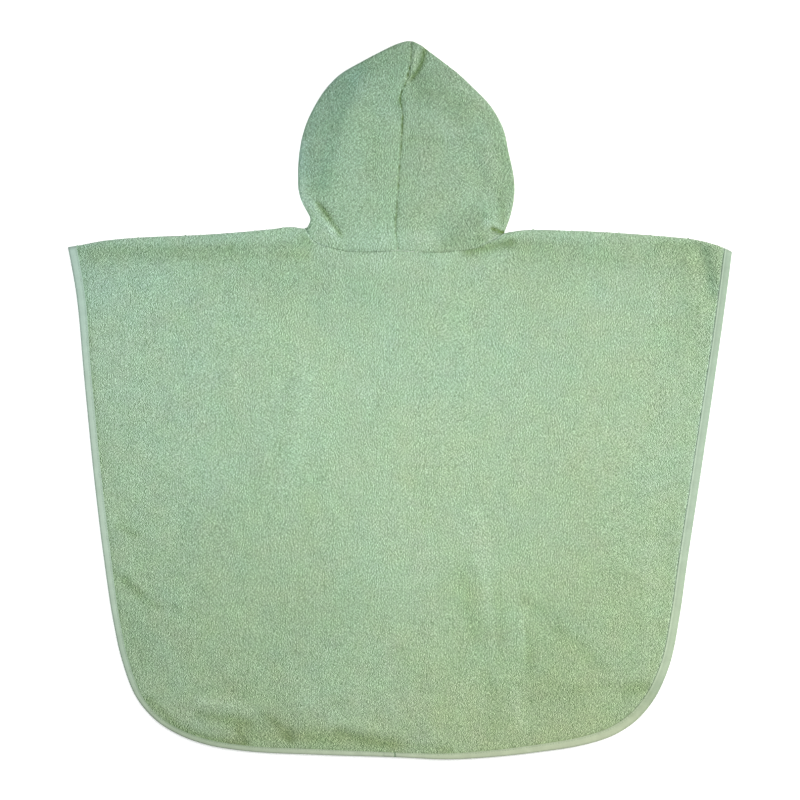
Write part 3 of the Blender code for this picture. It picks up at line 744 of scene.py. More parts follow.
# How dark the painted shadow along the neck seam is at each place across, in mm: at its ends, where the
# loops bridge it, it turns to painted light over the furrow
NECK_DEPTHS = ((-109, -0.2), (-90, -0.2), (-78, 0.08), (84, 0.08), (104, -0.15))
NECK_WIDTH = 1.2 * MM
SEAM_OPEN, SEAM_VARIETY, SEAM_LIMITS = 0.75, 0.55, (0.1, 1.6)  # how far the loops leave a seam open
TAPE_LINES = (-0.2 * MM, 0.5 * LOFT, LOFT)  # rows of points past the tape's inner edge
lumps = unevenness(21, 5 * MM, 14 * MM, 2.4)
bridging = unevenness(41, 4 * MM, 24 * MM)

# Soft folds and creases, with painted light and shade on them, and strokes of painted light and shade in
# the pile: across and up at each point of their path, and their width, in mm, how many mm they lift the
# cloth, how many percent lighter the pile is painted there, and how much cooler the painted shade is where
# it is darker. The last two may be left out.
Crease = namedtuple("Crease", "path width height shade cool", defaults=(0, 0))
BACK_CREASES = (
    ((-118, 38, -134, -84), 26, 1), ((-111, 43, -117, -30, -124, -93), 14, 0, 2),
    ((-124, 52, -128, 0, -140, -60, -149, -85), 8, -0.2, -4), ((-26, 46, -25, 10, -27, -25), 3, -0.1, -4),
    ((-183, -35, -172, -139), 28, -0.3, -3), ((-205, 60, -216, -150), 60, 0.8),
    ((66, 110, 52, -60), 48, 0.7), ((86, -132, 92, -170, 99, -205, 103, -246), 10, 0.5, 5),
    ((74, -200, 80, -235, 84, -270), 11, -0.3, -8), ((112, -212, 115, -260, 114, -300), 6, -0.3, -8),
    ((101, -318, 110, -355, 104, -392), 8, -0.2, -7), ((138, -248, 141, -292), 5.5, 0.5, 7),
    ((134, -340, 139, -376), 6.5, 0.7, 12), ((147, -264, 150, -315), 6, -0.3, -9),
    ((143, -232, 167, -244), 6, -0.3, -8), ((180, -262, 205, -282, 229, -306), 9, -0.25, -7),
    ((156, -335, 200, -339), 14, 0, -6), ((172, -255, 165, -335), 34, 0, -5),
    ((288, -175, 289, -240, 283, -305), 11, 0.3, 5), ((243, -198, 257, -200), 7, -0.2, -5),
    ((-60, -230, -70, -345), 30, 0.6), ((-100, -110, -60, -235), 52, 0, -5),
    ((62, -215, 88, -275), 28, 0, -4), ((0, -288, 24, -334), 9, -0.2, -4),
    ((-68, -138, 81, -230), 62, 0.3, 3), ((-287, -230, -172, -345), 75, 0, -6),
    ((-309, -255, -296, -300), 14, 0, -6), ((-215, -150, -130, -250), 50, 0, -5),
    ((-200, -112, -199, -150), 4, 0, -4), ((-103, -118, -102, -162), 6, 0, -4),
    ((-197, -330, -170, -341), 8, -0.2, -5), ((-143, -305, -114, -280), 6, 0, -4),
    ((-200, 150, -60, 140), 36, 0, -5), ((140, 166, 365, 156), 24, 0, -6),
    ((-110, -388, -10, -396), 22, 0, -7, -0.5),
    ((-184, -386, -110, -389, -60, -390, -10, -397), 9, -0.2, -13, -0.4),
    ((-197, -373, -128, -374), 7, 0, -9), ((352, 155, 345, 90), 42, 0, -9),
    ((-330, 115, -322, 50), 60, 0, 5), ((-110, 130, 160, 130), 60, 0, -4), ((-60, 160, 50, 160), 10, 0, 4),
    ((332, 160, 346, 96), 13, 1.2, 2), ((351, 172, 356, 152, 361, 122), 6.5, -0.9, -21, 0.7),
    ((-324, -146, -305, -155), 5, -0.4, -14), ((-319, -139, -302, -143), 4, 0, -6),
    ((-349, -129, -321, -152), 6, 0.5, 4), ((-340, -185, -291, -221), 7, 0.7, 4),
    ((-328, -196, -315, -208), 4, -0.4, -9), ((-315, -208, -298, -224), 6, -0.6, -19),
    ((-289, -232, -277, -239), 4.5, -0.3, -12), ((-262, -237, -256, -241), 4, -0.2, -9),
    ((-354, -35, -347, -87), 9, 0, -7), ((-361, 149, -342, -185), 4, 0, -4),
    ((-287, -64, -224, -81), 12, 0.4, 3), ((230, -60, 262, -196), 40, 0.9),
    ((230, -40, 320, -70), 30, 0.3, 2), ((313, -96, 334, -97), 3, -0.3, -8),
    ((309, -167, 329, -162), 3, -0.3, -8), ((268, -340, 252, -300), 14, 0.6),
    ((262, -332, 282, -331, 304, -338), 8, -0.6, -15), ((198, -334, 277, -326), 4, -0.2, -6),
    ((-352, 158, -200, 164), 13, 0.7), ((-373, 171, -195, 175), 6.5, -0.9, -14),
    ((-195, 176, -109, 180), 6, -0.6, -9), ((-355, 162, -236, 165, -110, 168), 9, 0, -10, -0.3),
    ((140, 167, 345, 160), 9, 0, -5, -0.3), ((298, 179, 345, 177), 6, 0, -9),
    ((352, 168, 354, 150, 360, 136), 8, 0, -4, 0.8), ((-114, 189, -101, 180), 4, -0.4, -12),
    ((160, 162, 330, 158), 13, 0.5), ((143, 178, 345, 175), 7, -0.4, -6), ((96, 158, 142, 160), 14, 0.7),
    ((78, 171, 104, 176, 128, 181), 6.5, -1, -32), ((126, 180, 168, 179), 7, -0.2, -9),
    ((-289, -345, -254, -377, -218, -390, -178, -396), 5, -0.5, -23),
    ((-232, -362, -205, -366, -175, -372), 5.5, -0.5, -18), ((-186, -379, -178, -394), 4.5, -0.4, -16),
    ((-156, -362, -140, -374, -128, -390), 5.5, -0.6, -20), ((-127, -381, -124, -395), 4.5, -0.4, -11),
    ((-75, -380, -52, -388, -20, -395, 58, -403), 4.5, -0.5, -15),
    ((-228, -346, -205, -349, -178, -358), 6.5, 0.9, 10), ((-104, -350, -72, -369), 9, 0.4, 4),
    ((-63, -371, -17, -382), 5, 0.6, 4),
)


def felt(points, rows):
    """Each crease of a table, with how strongly it is felt at each point of the plan."""
    for crease in (Crease(*row) for row in rows):
        path = np.reshape(crease.path, (-1, 2)) * MM
        yield crease, near(distance(points[:, :2], path), crease.width * MM)


def crease_height(points, rows):
    """How far the soft ridges lift the cloth at each point, or the troughs lower it."""
    return sum(crease.height * MM * share for crease, share in felt(points, rows))


def crease_painted_shading(points, rows):
    """The painted tint of the light, with the painted light and shade of folds and strokes at each point of
    the plan.
    """
    colours = painted_light_tint(points)
    for crease, share in felt(points, rows):
        colours *= tone(crease.shade / 100 * share, crease.cool)
    return colours


def on_right(points):
    """1 on the body's right edge, fading to 0 along the corner of the hem."""
    return rise(points[:, 0] - RIGHT_START, RIGHT_FADE)


def seam_shade(points, line, width):
    """The dark thread of shadow down a seam, which comes and goes where the loops bridge it."""
    gaping = np.clip(SEAM_OPEN + SEAM_VARIETY * sample(bridging, points), *SEAM_LIMITS)
    return -near(distance(points[:, :2], line), width) * gaping


def neck_shade(points, line):
    """The thread of shadow along the neck seam."""
    return read(NECK_DEPTHS, points[:, 0] / MM) * seam_shade(points, line, NECK_WIDTH)


def tape_lines(bound):
    """Lines under the tape's inner edge and up the slope where the cloth lofts beside it."""
    depths = [tape_width(bound) - CHANNEL + offset for offset in TAPE_LINES]
    return [bound + depth[:, None] * leftward(bound) for depth in depths]


def back_painted_shading(points):
    """The back's painted shading, with a painted shade line where it dips at the tape and a painted shadow
    line at the neck seam.
    """
    plan = points[:, :2]
    past = past_tape(plan, back_edges["bound"])
    glow = sum((left + right * on_right(plan)) * near(past, width) for left, right, width in TAPE_GLOW)
    colours = crease_painted_shading(points, BACK_CREASES) * tone(glow, 0)
    for side in ("left", "right"):
        turned = near(distance(plan, back_edges[side + " shoulder"]), SHOULDER_WIDTH)
        colours *= 1 + turned[:, None] * np.array(SHOULDER_HIGHLIGHT)
    return colours * tone(neck_shade(points, back_edges["neck"]), 0)


back_rim, back_edges = panel_rim("back_panel")
points, triangles = fill(back_rim, NOSE_DEPTHS, BACK_GRID, tape_lines(back_edges["bound"]))
from_shoulder = shoulder_distance(points, back_edges)
from_neck = distance(points, back_edges["neck"])
lift = crease_height(points, BACK_CREASES) + BACK_WAVE * sample(waviness, points)
lift *= rise(distance(points, back_edges["bound"]) + CHANNEL, CREASE_FADE)
lift *= rise(from_neck, CREASE_FADE / 2) * rise(from_shoulder, CREASE_FADE / 3)
low = UPPER + np.maximum(lift, 0.0)
full = TERRY - PILE - NOSE_EDGE + SHOULDER_SWELL * (1 - rise(from_shoulder, SWELL_WIDTH))
high = UPPER + lift + NOSE_EDGE + full * rounding(from_shoulder, NOSE)
high += LUMP * sample(lumps, points) * rise(from_shoulder, 2 * NOSE)
high -= NECK_FURROW * (1 - rise(from_neck, FURROW_WIDTH)) * rise(from_shoulder, NOSE)
high = np.maximum(high, low + THINNEST)
low, high = crushed(low, high, past_tape(points, back_edges["bound"]), UPPER)
back = panel("back_towelling", "back_panel", back_rim, points, triangles, low, high, back_painted_shading)
shoulders = {side: back_edges[side + " shoulder"] for side in ("left", "right")}
places = np.vstack([pile_places(back_rim), *[edge_places(line) for line in shoulders.values()]])
places = places[past_tape(places, back_edges["bound"]) > TAPE_CLEAR]
places = places[distance(places, back_edges["neck"]) > NECK_CLEAR]
for seed, (side, line) in enumerate(shoulders.items(), 6):
    half = places[(places[:, 0] < 0) == (side == "left")]
    pile("back_loops_" + side, back, half, 1, back_painted_shading, BACK_LOOP, seed, line)

# ---------------------------------------------------------------------------------------------
# Body bindings
# Two lengths of plain woven cotton tape, pressed in half along their length, that take the raw
# side and hem edges of each panel between their legs. One row of topstitching holds both legs.

TAPE_ROUND = 0.9 * MM
TAPE_STEP = 5.0 * MM
FOLD_RADIUS = TAPE_STACK / 2
FOLD_TURNS = tuple(math.radians(angle) for angle in (90, 55, 28, 0, -28, -55, -90))
# The tape's upper leg from its inner edge out: share of the visible width, and rise of its face in mm
TAPE_LEG = ((1.0, -0.35), (0.96, -0.05), (0.88, -0.05), (0.8, -0.3), (0.72, 0.0), (0.5, 0.12), (0.3, 0.05))
UNDER_LEG = 0.5  # the lower leg's face has this share of the relief
LIP = 0.3 * MM  # how far the upper leg's inner edge bites into the cloth
# How much lighter the tape is painted, as painted light and shade across it, by the share of its width from
# the fold, down the left and on the right
TAPE_SHADE = (
    (-1.0, -0.10), (0.05, -0.06), (0.17, 0.04), (0.32, 0.11), (0.45, 0.07), (0.7, 0.02), (0.8, -0.12),
    (0.9, -0.03), (1.0, -0.16),
)
RIGHT_SHADE = (
    (-1.0, -0.15), (0.05, -0.15), (0.17, -0.06), (0.3, 0.01), (0.5, 0.0), (0.76, 0.0), (0.84, 0.10),
    (0.94, 0.10), (1.0, 0.0),
)
# and by the turn in degrees about the middle of the body
TAPE_RUN = (
    (145, 0.03), (200, 0.02), (209, -0.06), (216, -0.09), (222, -0.15), (228, -0.21), (234, -0.16),
    (241, -0.12), (250, -0.03), (270, -0.03), (281, 0.01), (291, 0.04), (309, 0.06), (315, 0.02),
    (320, -0.09), (325, 0.10), (340, 0.06), (350, 0.0), (367, -0.02), (384, -0.09), (392, -0.13),
)
TAPE_CREASES = (
    ((286, -338, 296, -350), 1.3, 0, -16), ((294, -331, 304, -325), 6, 0, -6, 1),
    ((143, -398, 152, -409), 1.3, 0, 10), ((262, -355, 268, -368), 1.2, 0, -8),
    ((212, -377, 220, -389), 1.2, 0, 8),
)
TAPE_WARMING = (0.03, 0.0, -0.02)  # shares of red, green and blue gained along the hem, a warmer painted tint of the light
TAPE_COOL = 0.5
PUCKER = 0.2 * MM
STITCH_INSET = 0.2  # how far the topstitching lies from the inner edge, as a share of the width
RIGHT_INSET = 0.1
STITCH_PITCH = 3.1 * MM
STITCH = Loop(2.5 * MM, 0.8 * MM, 0.35 * MM, 0.0)
STITCH_SEAT = 0.16 * MM  # how deep the stitches lie in the tape's face
STITCH_VARIETY = 0.1
STITCH_GLOW = 0.08  # on the right the stitches lie closer to the edge and catch more light
HEM_JOIN = np.array([-6 * MM, -411 * MM])  # where one end of the tape overlaps the other
JOIN_OVERLAP = 12.8 * MM
JOIN_STEP = 0.3 * MM
JOIN_NOTCH, NOTCH_WIDTH = 1.0 * MM, 0.8 * MM
JOIN_STATIONS = (-13, -12.6, -2, -1.2, -0.6, 0, 0.6, 1.2, 2)  # mm along the tape
JOIN_SHADE, JOIN_WIDTH = -0.5, 0.9 * MM
pucker = unevenness(31, 7 * MM, 30 * MM)


def tape_edge(node):
    """The folded edge of a CAD binding, with the cloth on its left, and its two end vectors."""
    outline = rims(node, 1)[0]
    outer = outline[:, 2] < outline[:, 2].max() - TAPE_ROUND / 2
    first = int(np.flatnonzero(outer & ~np.roll(outer, 1))[0])
    outline = np.roll(outline, -first, axis=0)[:, :2]
    count = int(outer.sum())
    aims = outline[-1] - outline[0], outline[count] - outline[count - 1]
    return outline[:count], aims


def length_at(line, along, point):
    """The length along a line of its station nearest to a point."""
    return along[np.abs(line - point).sum(axis=1).argmin()]


def tape_path(node, join):
    """Stations along a binding's folded edge, crowded round a join, and the vectors into the cloth."""
    edge, aims = tape_edge(node)
    line = smooth_line(edge)
    along = lengths_along(line)
    wanted = np.linspace(0.0, along[-1], round(along[-1] / TAPE_STEP))
    if join is not None:
        wanted = np.append(wanted, length_at(line, along, join) + np.array(JOIN_STATIONS) * MM)
    wanted = np.unique(np.round(wanted, 5))
    path = at_lengths(line, wanted)
    return path, leftward(path, *aims), wanted


def thread_painted_shading(points):
    """The painted shading of the topstitching, which follows the tape's."""
    return painted_light_tint(points) * tone(read(TAPE_RUN, turn_of(points)) + STITCH_GLOW * on_right(points), 0)


def folded_tape(name, node, base, width, join=None):
    """A length of tape folded over an edge: a closed C section swept along it, with its topstitching."""
    path, into_cloth, along = tape_path(node, join)
    widths = width(path)
    lift = PUCKER * sample(pucker, path)
    if join is not None:
        before = length_at(path, along, join) - along
        lift += JOIN_STEP * ((before < JOIN_OVERLAP) & (before > 0)) - JOIN_NOTCH * near(before, NOTCH_WIDTH)
    rings = []
    for point, inward, wide, puckered in zip(path, into_cloth, widths, lift):
        top = TAPE_STACK + puckered
        section = [(share * wide, top + face * MM) for share, face in TAPE_LEG]
        for turn in FOLD_TURNS:
            height = FOLD_RADIUS * (1 + math.sin(turn)) + max(0.0, math.sin(turn)) * puckered
            section.append((FOLD_RADIUS * (1 - math.cos(turn)), height))
        section += [(share * wide, max(0.0, -face * UNDER_LEG * MM)) for share, face in TAPE_LEG[::-1]]
        section += [(wide, TAPE), (TAPE, TAPE), (TAPE, TAPE_STACK - TAPE), (wide, TAPE_STACK - TAPE - LIP)]
        rings.append([(*(point + depth * inward), base + height) for depth, height in section])
    rings = np.array(rings)
    count = rings.shape[1]
    ring = np.arange(count)
    side = np.stack([ring, (ring + 1) % count, count + (ring + 1) % count, count + ring], axis=1)
    sides = [start * count + side for start in range(len(rings) - 1)]
    faces = [*np.vstack(sides), ring, ring + (len(rings) - 1) * count]

    def painted_shading(points):
        """Painted shade along the fold and the stitching, painted light and shade along its run, and darker
        at the join; warmer and duller along the hem, as a painted tint of the light.
        """
        plan = points[:, :2]
        depth = distance(plan, path) / width(plan)
        right = on_right(plan)
        share = (1 - right) * read(TAPE_SHADE, depth) + right * read(RIGHT_SHADE, depth)
        share += read(TAPE_RUN, turn_of(plan))
        if join is not None:
            share += JOIN_SHADE * near(plan[:, 0] - join[0], JOIN_WIDTH) * (plan[:, 1] < HEM_TOP)
        warmed = 1 + at_hem(points) * np.array(TAPE_WARMING)
        return crease_painted_shading(points, TAPE_CREASES) * tone(share, TAPE_COOL) * warmed

    tape = sewn_piece(name, [(rings.reshape(-1, 3), faces)], cotton_tape, "tape", node, painted_shading)
    inset = STITCH_INSET + (RIGHT_INSET - STITCH_INSET) * on_right(path)
    sewn = stations(path + (widths * (1 - inset))[:, None] * into_cloth, STITCH_PITCH)[1:-1]
    heading = raised(np.gradient(sewn, axis=0), np.zeros(len(sewn)))
    top = TAPE_STACK - STITCH_SEAT + PUCKER * sample(pucker, sewn)
    threads = []
    for place, side, height in (("above", 1.0, top), ("below", -1.0, np.full(len(sewn), STITCH_SEAT))):
        feet = f"{name}_stitches_{place}", raised(sewn, base + height), np.tile((0, 0, side), (len(sewn), 1))
        threads.append(scatter(*feet, heading, STITCH, cotton_thread, "tape", thread_painted_shading, STITCH_VARIETY))
    return tape, threads


CLOUD = (12 * MM, 12 * MM)
FIBRE = (1.4 * MM, 1.4 * MM)
RIPPLE = 15.08 * MM  # how far apart, across or up, the slight ripples lie that its stitching leaves


def woven_cotton(tree, code):
    """Plain woven cotton: a smooth, faintly rippled face, paler than the loops and a little silky.

    Its threads are finer than a pixel of any likely view, so they are drawn as coarser, faint flecks.
    """
    place = add(tree, "ShaderNodeTexCoord", output="Object")
    # The painted light and shade of each piece of tape, kept at its points
    painted_shading = add(tree, "ShaderNodeAttribute", attribute_name="painted_shading")
    clouds = patches(tree, place, CLOUD, 0.93, 1.07, detail=4.0, roughness=0.65)
    fibres = patches(tree, place, FIBRE, 0.97, 1.03)
    colour = layered(tree, srgb(code), [("MULTIPLY", 1.0, over) for over in (painted_shading, clouds, fibres)])
    # Diagonal bands lie twice as far apart as others
    bands = {"Vector": place, "Scale": 2 * BANDS / RIPPLE, "Distortion": 1.5}
    ripples = add(tree, "ShaderNodeTexWave", bands, "Fac", bands_direction="DIAGONAL")
    return {
        "Base Color": colour,
        "Roughness": 0.7,
        "Specular IOR Level": 0.3,
        "Sheen Weight": 0.1,
        "Sheen Roughness": 0.4,
        "Normal": add(tree, "ShaderNodeBump", {"Height": ripples, "Strength": 0.15, "Distance": 0.2 * MM}),
    }


# The sewing thread is the same cotton, a shade lighter than the tape
cotton_tape = new_material("cotton_tape", lambda tree: woven_cotton(tree, "A4B9A7"))
cotton_thread = new_material("cotton_thread", lambda tree: woven_cotton(tree, "AFC4B0"))
for tape, threads in (
    folded_tape("back_tape", "back_binding", UPPER, tape_width, HEM_JOIN),
    folded_tape("front_tape", "front_binding", 0.0, tape_width),
):
    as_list(threads)

# ---------------------------------------------------------------------------------------------
# Hood
# Two mirrored halves of towelling sewn together from the nape over the crown to the forehead,
# and sewn to the neckline all round. Laid flat, each half doubles over along a soft side fold:
# its upper layer shows, and its under layer ends at the face opening, edged with the same tape.

HOOD_CREASES = (
    ((0, 420, 30, 420), 60, 0, -9, 0.5), ((-70, 334, -88, 262), 20, 0.8),
    ((-46, 386, -57, 356, -73, 324, -82, 287, -89, 250), 11, -0.5, -15, 0.8),
    ((-64, 372, -92, 336, -108, 300, -113, 272), 16, 0, -11, 1),
    ((-94.5, 226.5, -83.5, 213, -75, 200, -68, 190), 2.4, -1.2, -32), ((-91, 221, -83, 209), 5, -0.4, -20),
    ((-104, 229, -90, 207, -73, 185), 4.2, 1, 12), ((-57, 224, -22, 189), 16, 0.4, 4),
    ((-63, 287, -55, 247), 14, 0.4, 4), ((-28, 298, -32, 258), 9, -0.3, -5),
    ((-28, 333, -5, 319), 7, 0.3, 4), ((28.5, 404, 26.5, 392, 21.5, 380, 14, 370), 3, -1, -44),
    ((20, 398, 16, 384, 9, 366), 4.5, 0, 6, 2), ((24, 380, 19, 366, 28, 342), 8, -0.3, -9, 0.6),
    ((20, 404, 13, 372), 3.5, 0.6, 8), ((-100, 334, -110, 300), 10, 0, 9),
    ((-116, 292, -118, 252, -115, 229), 9, 0, 30), ((-113, 229, -103, 210, -95, 197), 9, 0, 12),
    ((-99, 222, -87, 205, -77, 192), 4.5, 0.3, 9), ((-58, 378, -44, 362), 10, 0, 11),
    ((100, 322, 115, 300, 124, 270, 127, 240), 13, 0, -10), ((-85, 190, -40, 183, 30, 183), 12, 0, 9),
    ((102, 204, 113, 199), 5, 0.3, 13), ((88, 204, 94, 187), 6, 0, -10), ((35, 362, 70, 335), 18, 0, -10),
    ((29, 331, 58, 310), 7, 0.4, 5), ((90, 324, 113, 304), 10, 0.4, 6), ((12, 301, 47, 296), 6, -0.3, -6),
    ((75, 298, 95, 289), 7, -0.3, -6), ((90, 281, 102, 252), 7, -0.4, -9, 0.8),
    ((81, 247, 74, 226), 6, 0.4, 5), ((95, 224, 104, 216), 6, 0.4, 6),
    ((114, 240, 118, 222, 118, 207), 4.5, -0.4, -14), ((107, 197, 114, 193.5, 121, 191.5), 2.6, -1.5, -60),
    ((99, 203, 115, 210), 5, 0.5, 8), ((60, 192, 78, 203, 94, 211), 14, -0.3, -13, 0.8),
    ((52, 180, 93, 183), 6, -0.4, -12, 0.5), ((6, 189, 45, 192), 11, 0.4, 6),
    ((-0.6, 344, -0.4, 342), 4, -0.4, -24),
)
FACE_TAPE = 9.0 * MM  # visible width of the tape round the face opening
HOOD_SHADE = (0.865, 0.89, 0.85)  # both halves are drawn a little darker
RIGHT_DRIFT = (0.035, 0.0, 0.0)  # shares of red, green and blue gained by the right half
RIGHT_HALF_FADE = 30 * MM
# How dark the painted shadow down the centre seam is at each height up it, in mm
SEAM_DEPTHS = (
    (172, 0.5), (192, 0.5), (222, 0.95), (300, 1.45), (336, 1.15), (343, 1.3), (392, 0.8), (413, 0.3),
)
SEAM_SHADE, SEAM_WIDTH = 0.52, 0.95 * MM
SEAM_DRAG = 1.1 * MM  # the seam is dragged a little to the left between its ends
DRAG_TOP, DRAG_FOOT = 120 * MM, 30 * MM  # lengths over which that sets in
SEAM_CLOSE = 0.17 * MM  # the halves meet closer than the solids do
SEAM_FURROW = 0.7 * MM
SEAM_SHARE = 0.65  # share of the dome's height that is left at the seam
SEAM_CLEAR = 0.6 * MM  # the loops end this far from the seams
FOLD_ROUND = 4.5 * MM
FOLD_HEIGHT, NECK_FOLD_HEIGHT = 3.4 * MM, 2.4 * MM
FOLD_DEPTHS = tuple(FOLD_ROUND * share for share in (0.06, 0.25, 0.6, 1.0))
FOLD_CLEAR = 1.5 * MM
INNER_SHARE = 0.97  # share of the cloth's thickness that its inner fold keeps from the outer one
PEAK_CLEAR = 2 * MM
NECK_FADE = 18.0 * MM
HOOD_DOME = 3.2 * MM
HOOD_SLOPE = 34.0 * MM
HOOD_GRID = 3.4 * MM
HOOD_LOOP = Loop(3.4 * MM, 1.7 * MM, 0.5 * MM, 0.35 * MM)  # the hood's pile is brushed up a little more


def hood_lines(node, neck):
    """The edges of half a hood, as even rows of points from the frame."""
    upper = runs(rims(node, 1)[0], (neck, "nape", "peak"))
    under = runs(rims(node, -1)[-1], (neck, "peak", "forehead", "throat"))
    named = {
        "fold": upper[neck, "peak"],
        "seam": upper["peak", "nape"],
        "nape": upper["nape", neck],
        "brow": under["peak", "forehead"],
        "face": under["forehead", "throat"],
        "throat": under["throat", neck],
    }
    lines = {name: even(line) for name, line in named.items()}
    up = lines["seam"][:, 1]
    drag = rise(CORNERS["peak"][1] * MM - up, DRAG_TOP) * rise(up - up[-1], DRAG_FOOT)
    lines["seam"][:, 0] -= SEAM_DRAG * drag
    toward = 1 if neck == "left neck" else -1
    for name in ("seam", "brow"):
        lines[name][:, 0] += SEAM_CLOSE * toward
    fold = lines["fold"]
    inner = fold - toward * TERRY * leftward(fold)
    clear = (distance(inner, fold) > INNER_SHARE * TERRY) & (np.abs(inner[:, 0] - fold[-1, 0]) > PEAK_CLEAR)
    lines["inner fold"] = np.vstack([inner[clear], fold[-1:] - (0.0, TERRY)])
    return lines


def area_of(rim):
    """Signed area of a closed rim, positive when it runs anticlockwise."""
    following = np.roll(rim, -1, axis=0)
    return float((rim[:, 0] * following[:, 1] - following[:, 0] * rim[:, 1]).sum() / 2)


def hood_half(name, node, neck):
    """Half a hood, as one closed shell, and the loops on its upper and lower faces."""
    line = hood_lines(node, neck)
    fold, inner_fold, face = line["fold"], line["inner fold"], line["face"]
    seam, nape = line["seam"], line["nape"]

    def fold_height(points):
        from_neck = np.linalg.norm(points - fold[0], axis=1)
        return NECK_FOLD_HEIGHT + (FOLD_HEIGHT - NECK_FOLD_HEIGHT) * rise(from_neck, NECK_FADE)

    def stand_off(points):
        """How far the dome and its creases lift the upper layer off what it lies on."""
        dome = HOOD_DOME * rise(distance(points, fold) + FOLD_ROUND, HOOD_SLOPE)
        dome *= SEAM_SHARE + (1 - SEAM_SHARE) * rise(distance(points, seam), HOOD_SLOPE)
        creases = crease_height(points, HOOD_CREASES) * rise(distance(points, fold), 2 * FOLD_ROUND)
        return (dome + creases) * rise(distance(points, nape), HOOD_SLOPE)

    def upper_face(points):
        furrow, neckline = (1 - rise(distance(points, edge), FURROW_WIDTH) for edge in (seam, nape))
        crest = UPPER + TERRY - PILE + stand_off(points) - SEAM_FURROW * furrow - NECK_FURROW * neckline
        crest += LUMP * sample(lumps, points) * (1 - furrow)
        low = fold_height(points)
        return low + (crest - low) * rounding(distance(points, fold), FOLD_ROUND)

    def upper_lining(points):
        low = fold_height(points)
        climb = rise(distance(points, inner_fold), FOLD_ROUND)
        return low + (UPPER + np.maximum(0, stand_off(points)) - low) * climb

    def under(points):
        """Heights of the under layer's two faces, crushed at the face opening's tape."""
        edge = fold_height(points)
        low = PILE + (edge - PILE) * (1 - rounding(distance(points, fold), FOLD_ROUND))
        high = edge + (TERRY - edge) * rise(distance(points, inner_fold), FOLD_ROUND)
        bound = crushed(low, high, distance(points, face) + CHANNEL - FACE_TAPE, 0.0)
        away = rise(distance(points, fold), 2 * FOLD_ROUND)
        return low + away * (bound[0] - low), high + away * (bound[1] - high)

    def painted_shading(points):
        """The hood's painted shading, with a painted shadow in a fine line along its seam."""
        right = rise(points[:, :1] - seam[:, 0].mean(), RIGHT_HALF_FADE)
        colours = np.array(HOOD_SHADE) * crease_painted_shading(points, HOOD_CREASES) * (1 + right * np.array(RIGHT_DRIFT))
        dark = read(SEAM_DEPTHS, points[:, 1] / MM) * SEAM_SHADE * seam_shade(points, seam, SEAM_WIDTH)
        return colours * tone(neck_shade(points, nape), 0) * tone(dark, 0)

    blocks = []
    rims_out = []
    for edges, outer, inner in (
        (("seam", "nape"), upper_face, upper_lining),
        (("brow", "face", "throat"), lambda p: under(p)[0], lambda p: under(p)[1]),
    ):
        rest = np.vstack([line[edge][:-1] for edge in edges])
        rest = rest[distance(rest, fold) > TERRY + FOLD_CLEAR]
        ends = []
        for crease, heights in ((fold, outer), (inner_fold, inner)):
            rim = np.vstack([crease, rest])
            rim = rim if area_of(rim) > 0 else rim[::-1]
            points, faces = fill(rim, FOLD_DEPTHS, HOOD_GRID)
            blocks.append((raised(points, heights(points)), faces))
            row = np.vstack([crease[-1:], rest, crease[:1]])
            ends.append(raised(row, heights(row)))
            rims_out.append(rim)
        blocks.append(wall(*ends))
    cloth = sewn_piece(name, blocks, ground_weave, "towelling", node, painted_shading)
    upper_rim, under_rim = rims_out[::2]
    turn = fold if np.array_equal(upper_rim[0], fold[0]) else fold[::-1]
    above = np.vstack([pile_places(upper_rim), edge_places(turn)])
    above = above[np.minimum(distance(above, seam), distance(above, nape)) > SEAM_CLEAR]
    below = np.vstack([pile_places(under_rim, HIDDEN_SPREAD), edge_places(turn)])
    past = distance(below, face) + CHANNEL - FACE_TAPE
    below = below[np.minimum(past, distance(below, line["brow"])) > SEAM_CLEAR]
    return cloth, [
        pile(name + "_loops_above", cloth, above, 1, painted_shading, HOOD_LOOP, short=fold),
        pile(name + "_loops_below", cloth, below, -1, painted_shading, FRONT_LOOP, short=fold),
    ]


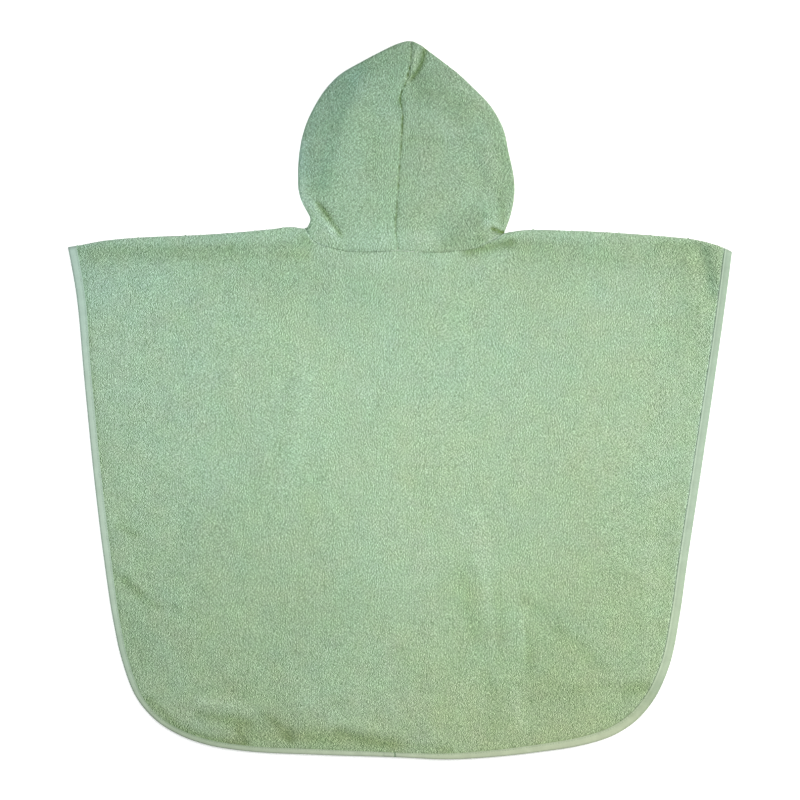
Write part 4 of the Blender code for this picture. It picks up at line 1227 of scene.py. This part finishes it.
halves = [hood_half(f"hood_{side}_towelling", f"hood_{side}", f"{side} neck") for side in ("left", "right")]
face_tape, face_threads = folded_tape(
    "face_tape", "hood_binding", 0.0, lambda points: np.full(len(points), FACE_TAPE)
)
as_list(face_threads)
for half, piles in halves:
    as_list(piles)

# ---------------------------------------------------------------------------------------------
# Studio
# A floor of matt white paper that the light fills evenly, a soft key light from the upper right,
# a weak one overhead, and a camera that looks straight down.

FRAME_WIDTH = 0.920  # what the view takes in across the floor
LENS, SENSOR = 85.0, 36.0
CLOTH_LEVEL = 6 * MM
FLOOR_REACH = 4.0


def white_paper(tree):
    """Matt white paper, a little overexposed so that it shows as plain white."""
    return {
        "Base Color": srgb("F3F3F3"),
        "Roughness": 1.0,
        "Specular IOR Level": 0.0,
        "Emission Color": srgb("FFFFFF"),
        "Emission Strength": 0.5,
    }


def area_light(name, place, size, power, colour):
    """A soft box that faces the middle of the garment."""
    light = bpy.data.lights.new(name, "AREA")
    light.shape = "SQUARE"
    light.size = size
    light.energy = power
    light.color = colour
    box = placed(name, light)
    box.location = place
    box.visible_camera = False
    box.rotation_euler = (-Vector(place)).to_track_quat("-Z", "Y").to_euler()


floor_mesh = bpy.data.meshes.new("floor")
corners = [(x * FLOOR_REACH, y * FLOOR_REACH, 0) for x, y in ((-1, -1), (1, -1), (1, 1), (-1, 1))]
floor_mesh.from_pydata(corners, [], [(0, 1, 2, 3)])
floor_mesh.materials.append(new_material("white_paper", white_paper))
placed("floor", floor_mesh)

area_light("key", (1.72, 0.46, 1.29), 0.8, 44.4, (1.0, 0.97, 0.93))
area_light("overhead", (-0.15, 0.0, 0.8), 0.35, 4.4, (0.97, 1.0, 1.0))
world = bpy.data.worlds.new("studio")
world.use_nodes = True
world.node_tree.nodes["Background"].inputs["Color"].default_value = (0.97, 1.0, 1.03, 1.0)
world.node_tree.nodes["Background"].inputs["Strength"].default_value = 0.2
bpy.context.scene.world = world
bpy.context.scene.view_settings.view_transform = "Standard"

camera_data = bpy.data.cameras.new("camera")
camera_data.lens = LENS
camera_data.sensor_width = SENSOR
camera = placed("camera", camera_data)
camera.location = (0.0, 0.0, CLOTH_LEVEL + FRAME_WIDTH / 2 / (SENSOR / 2 / LENS))
bpy.context.scene.camera = camera
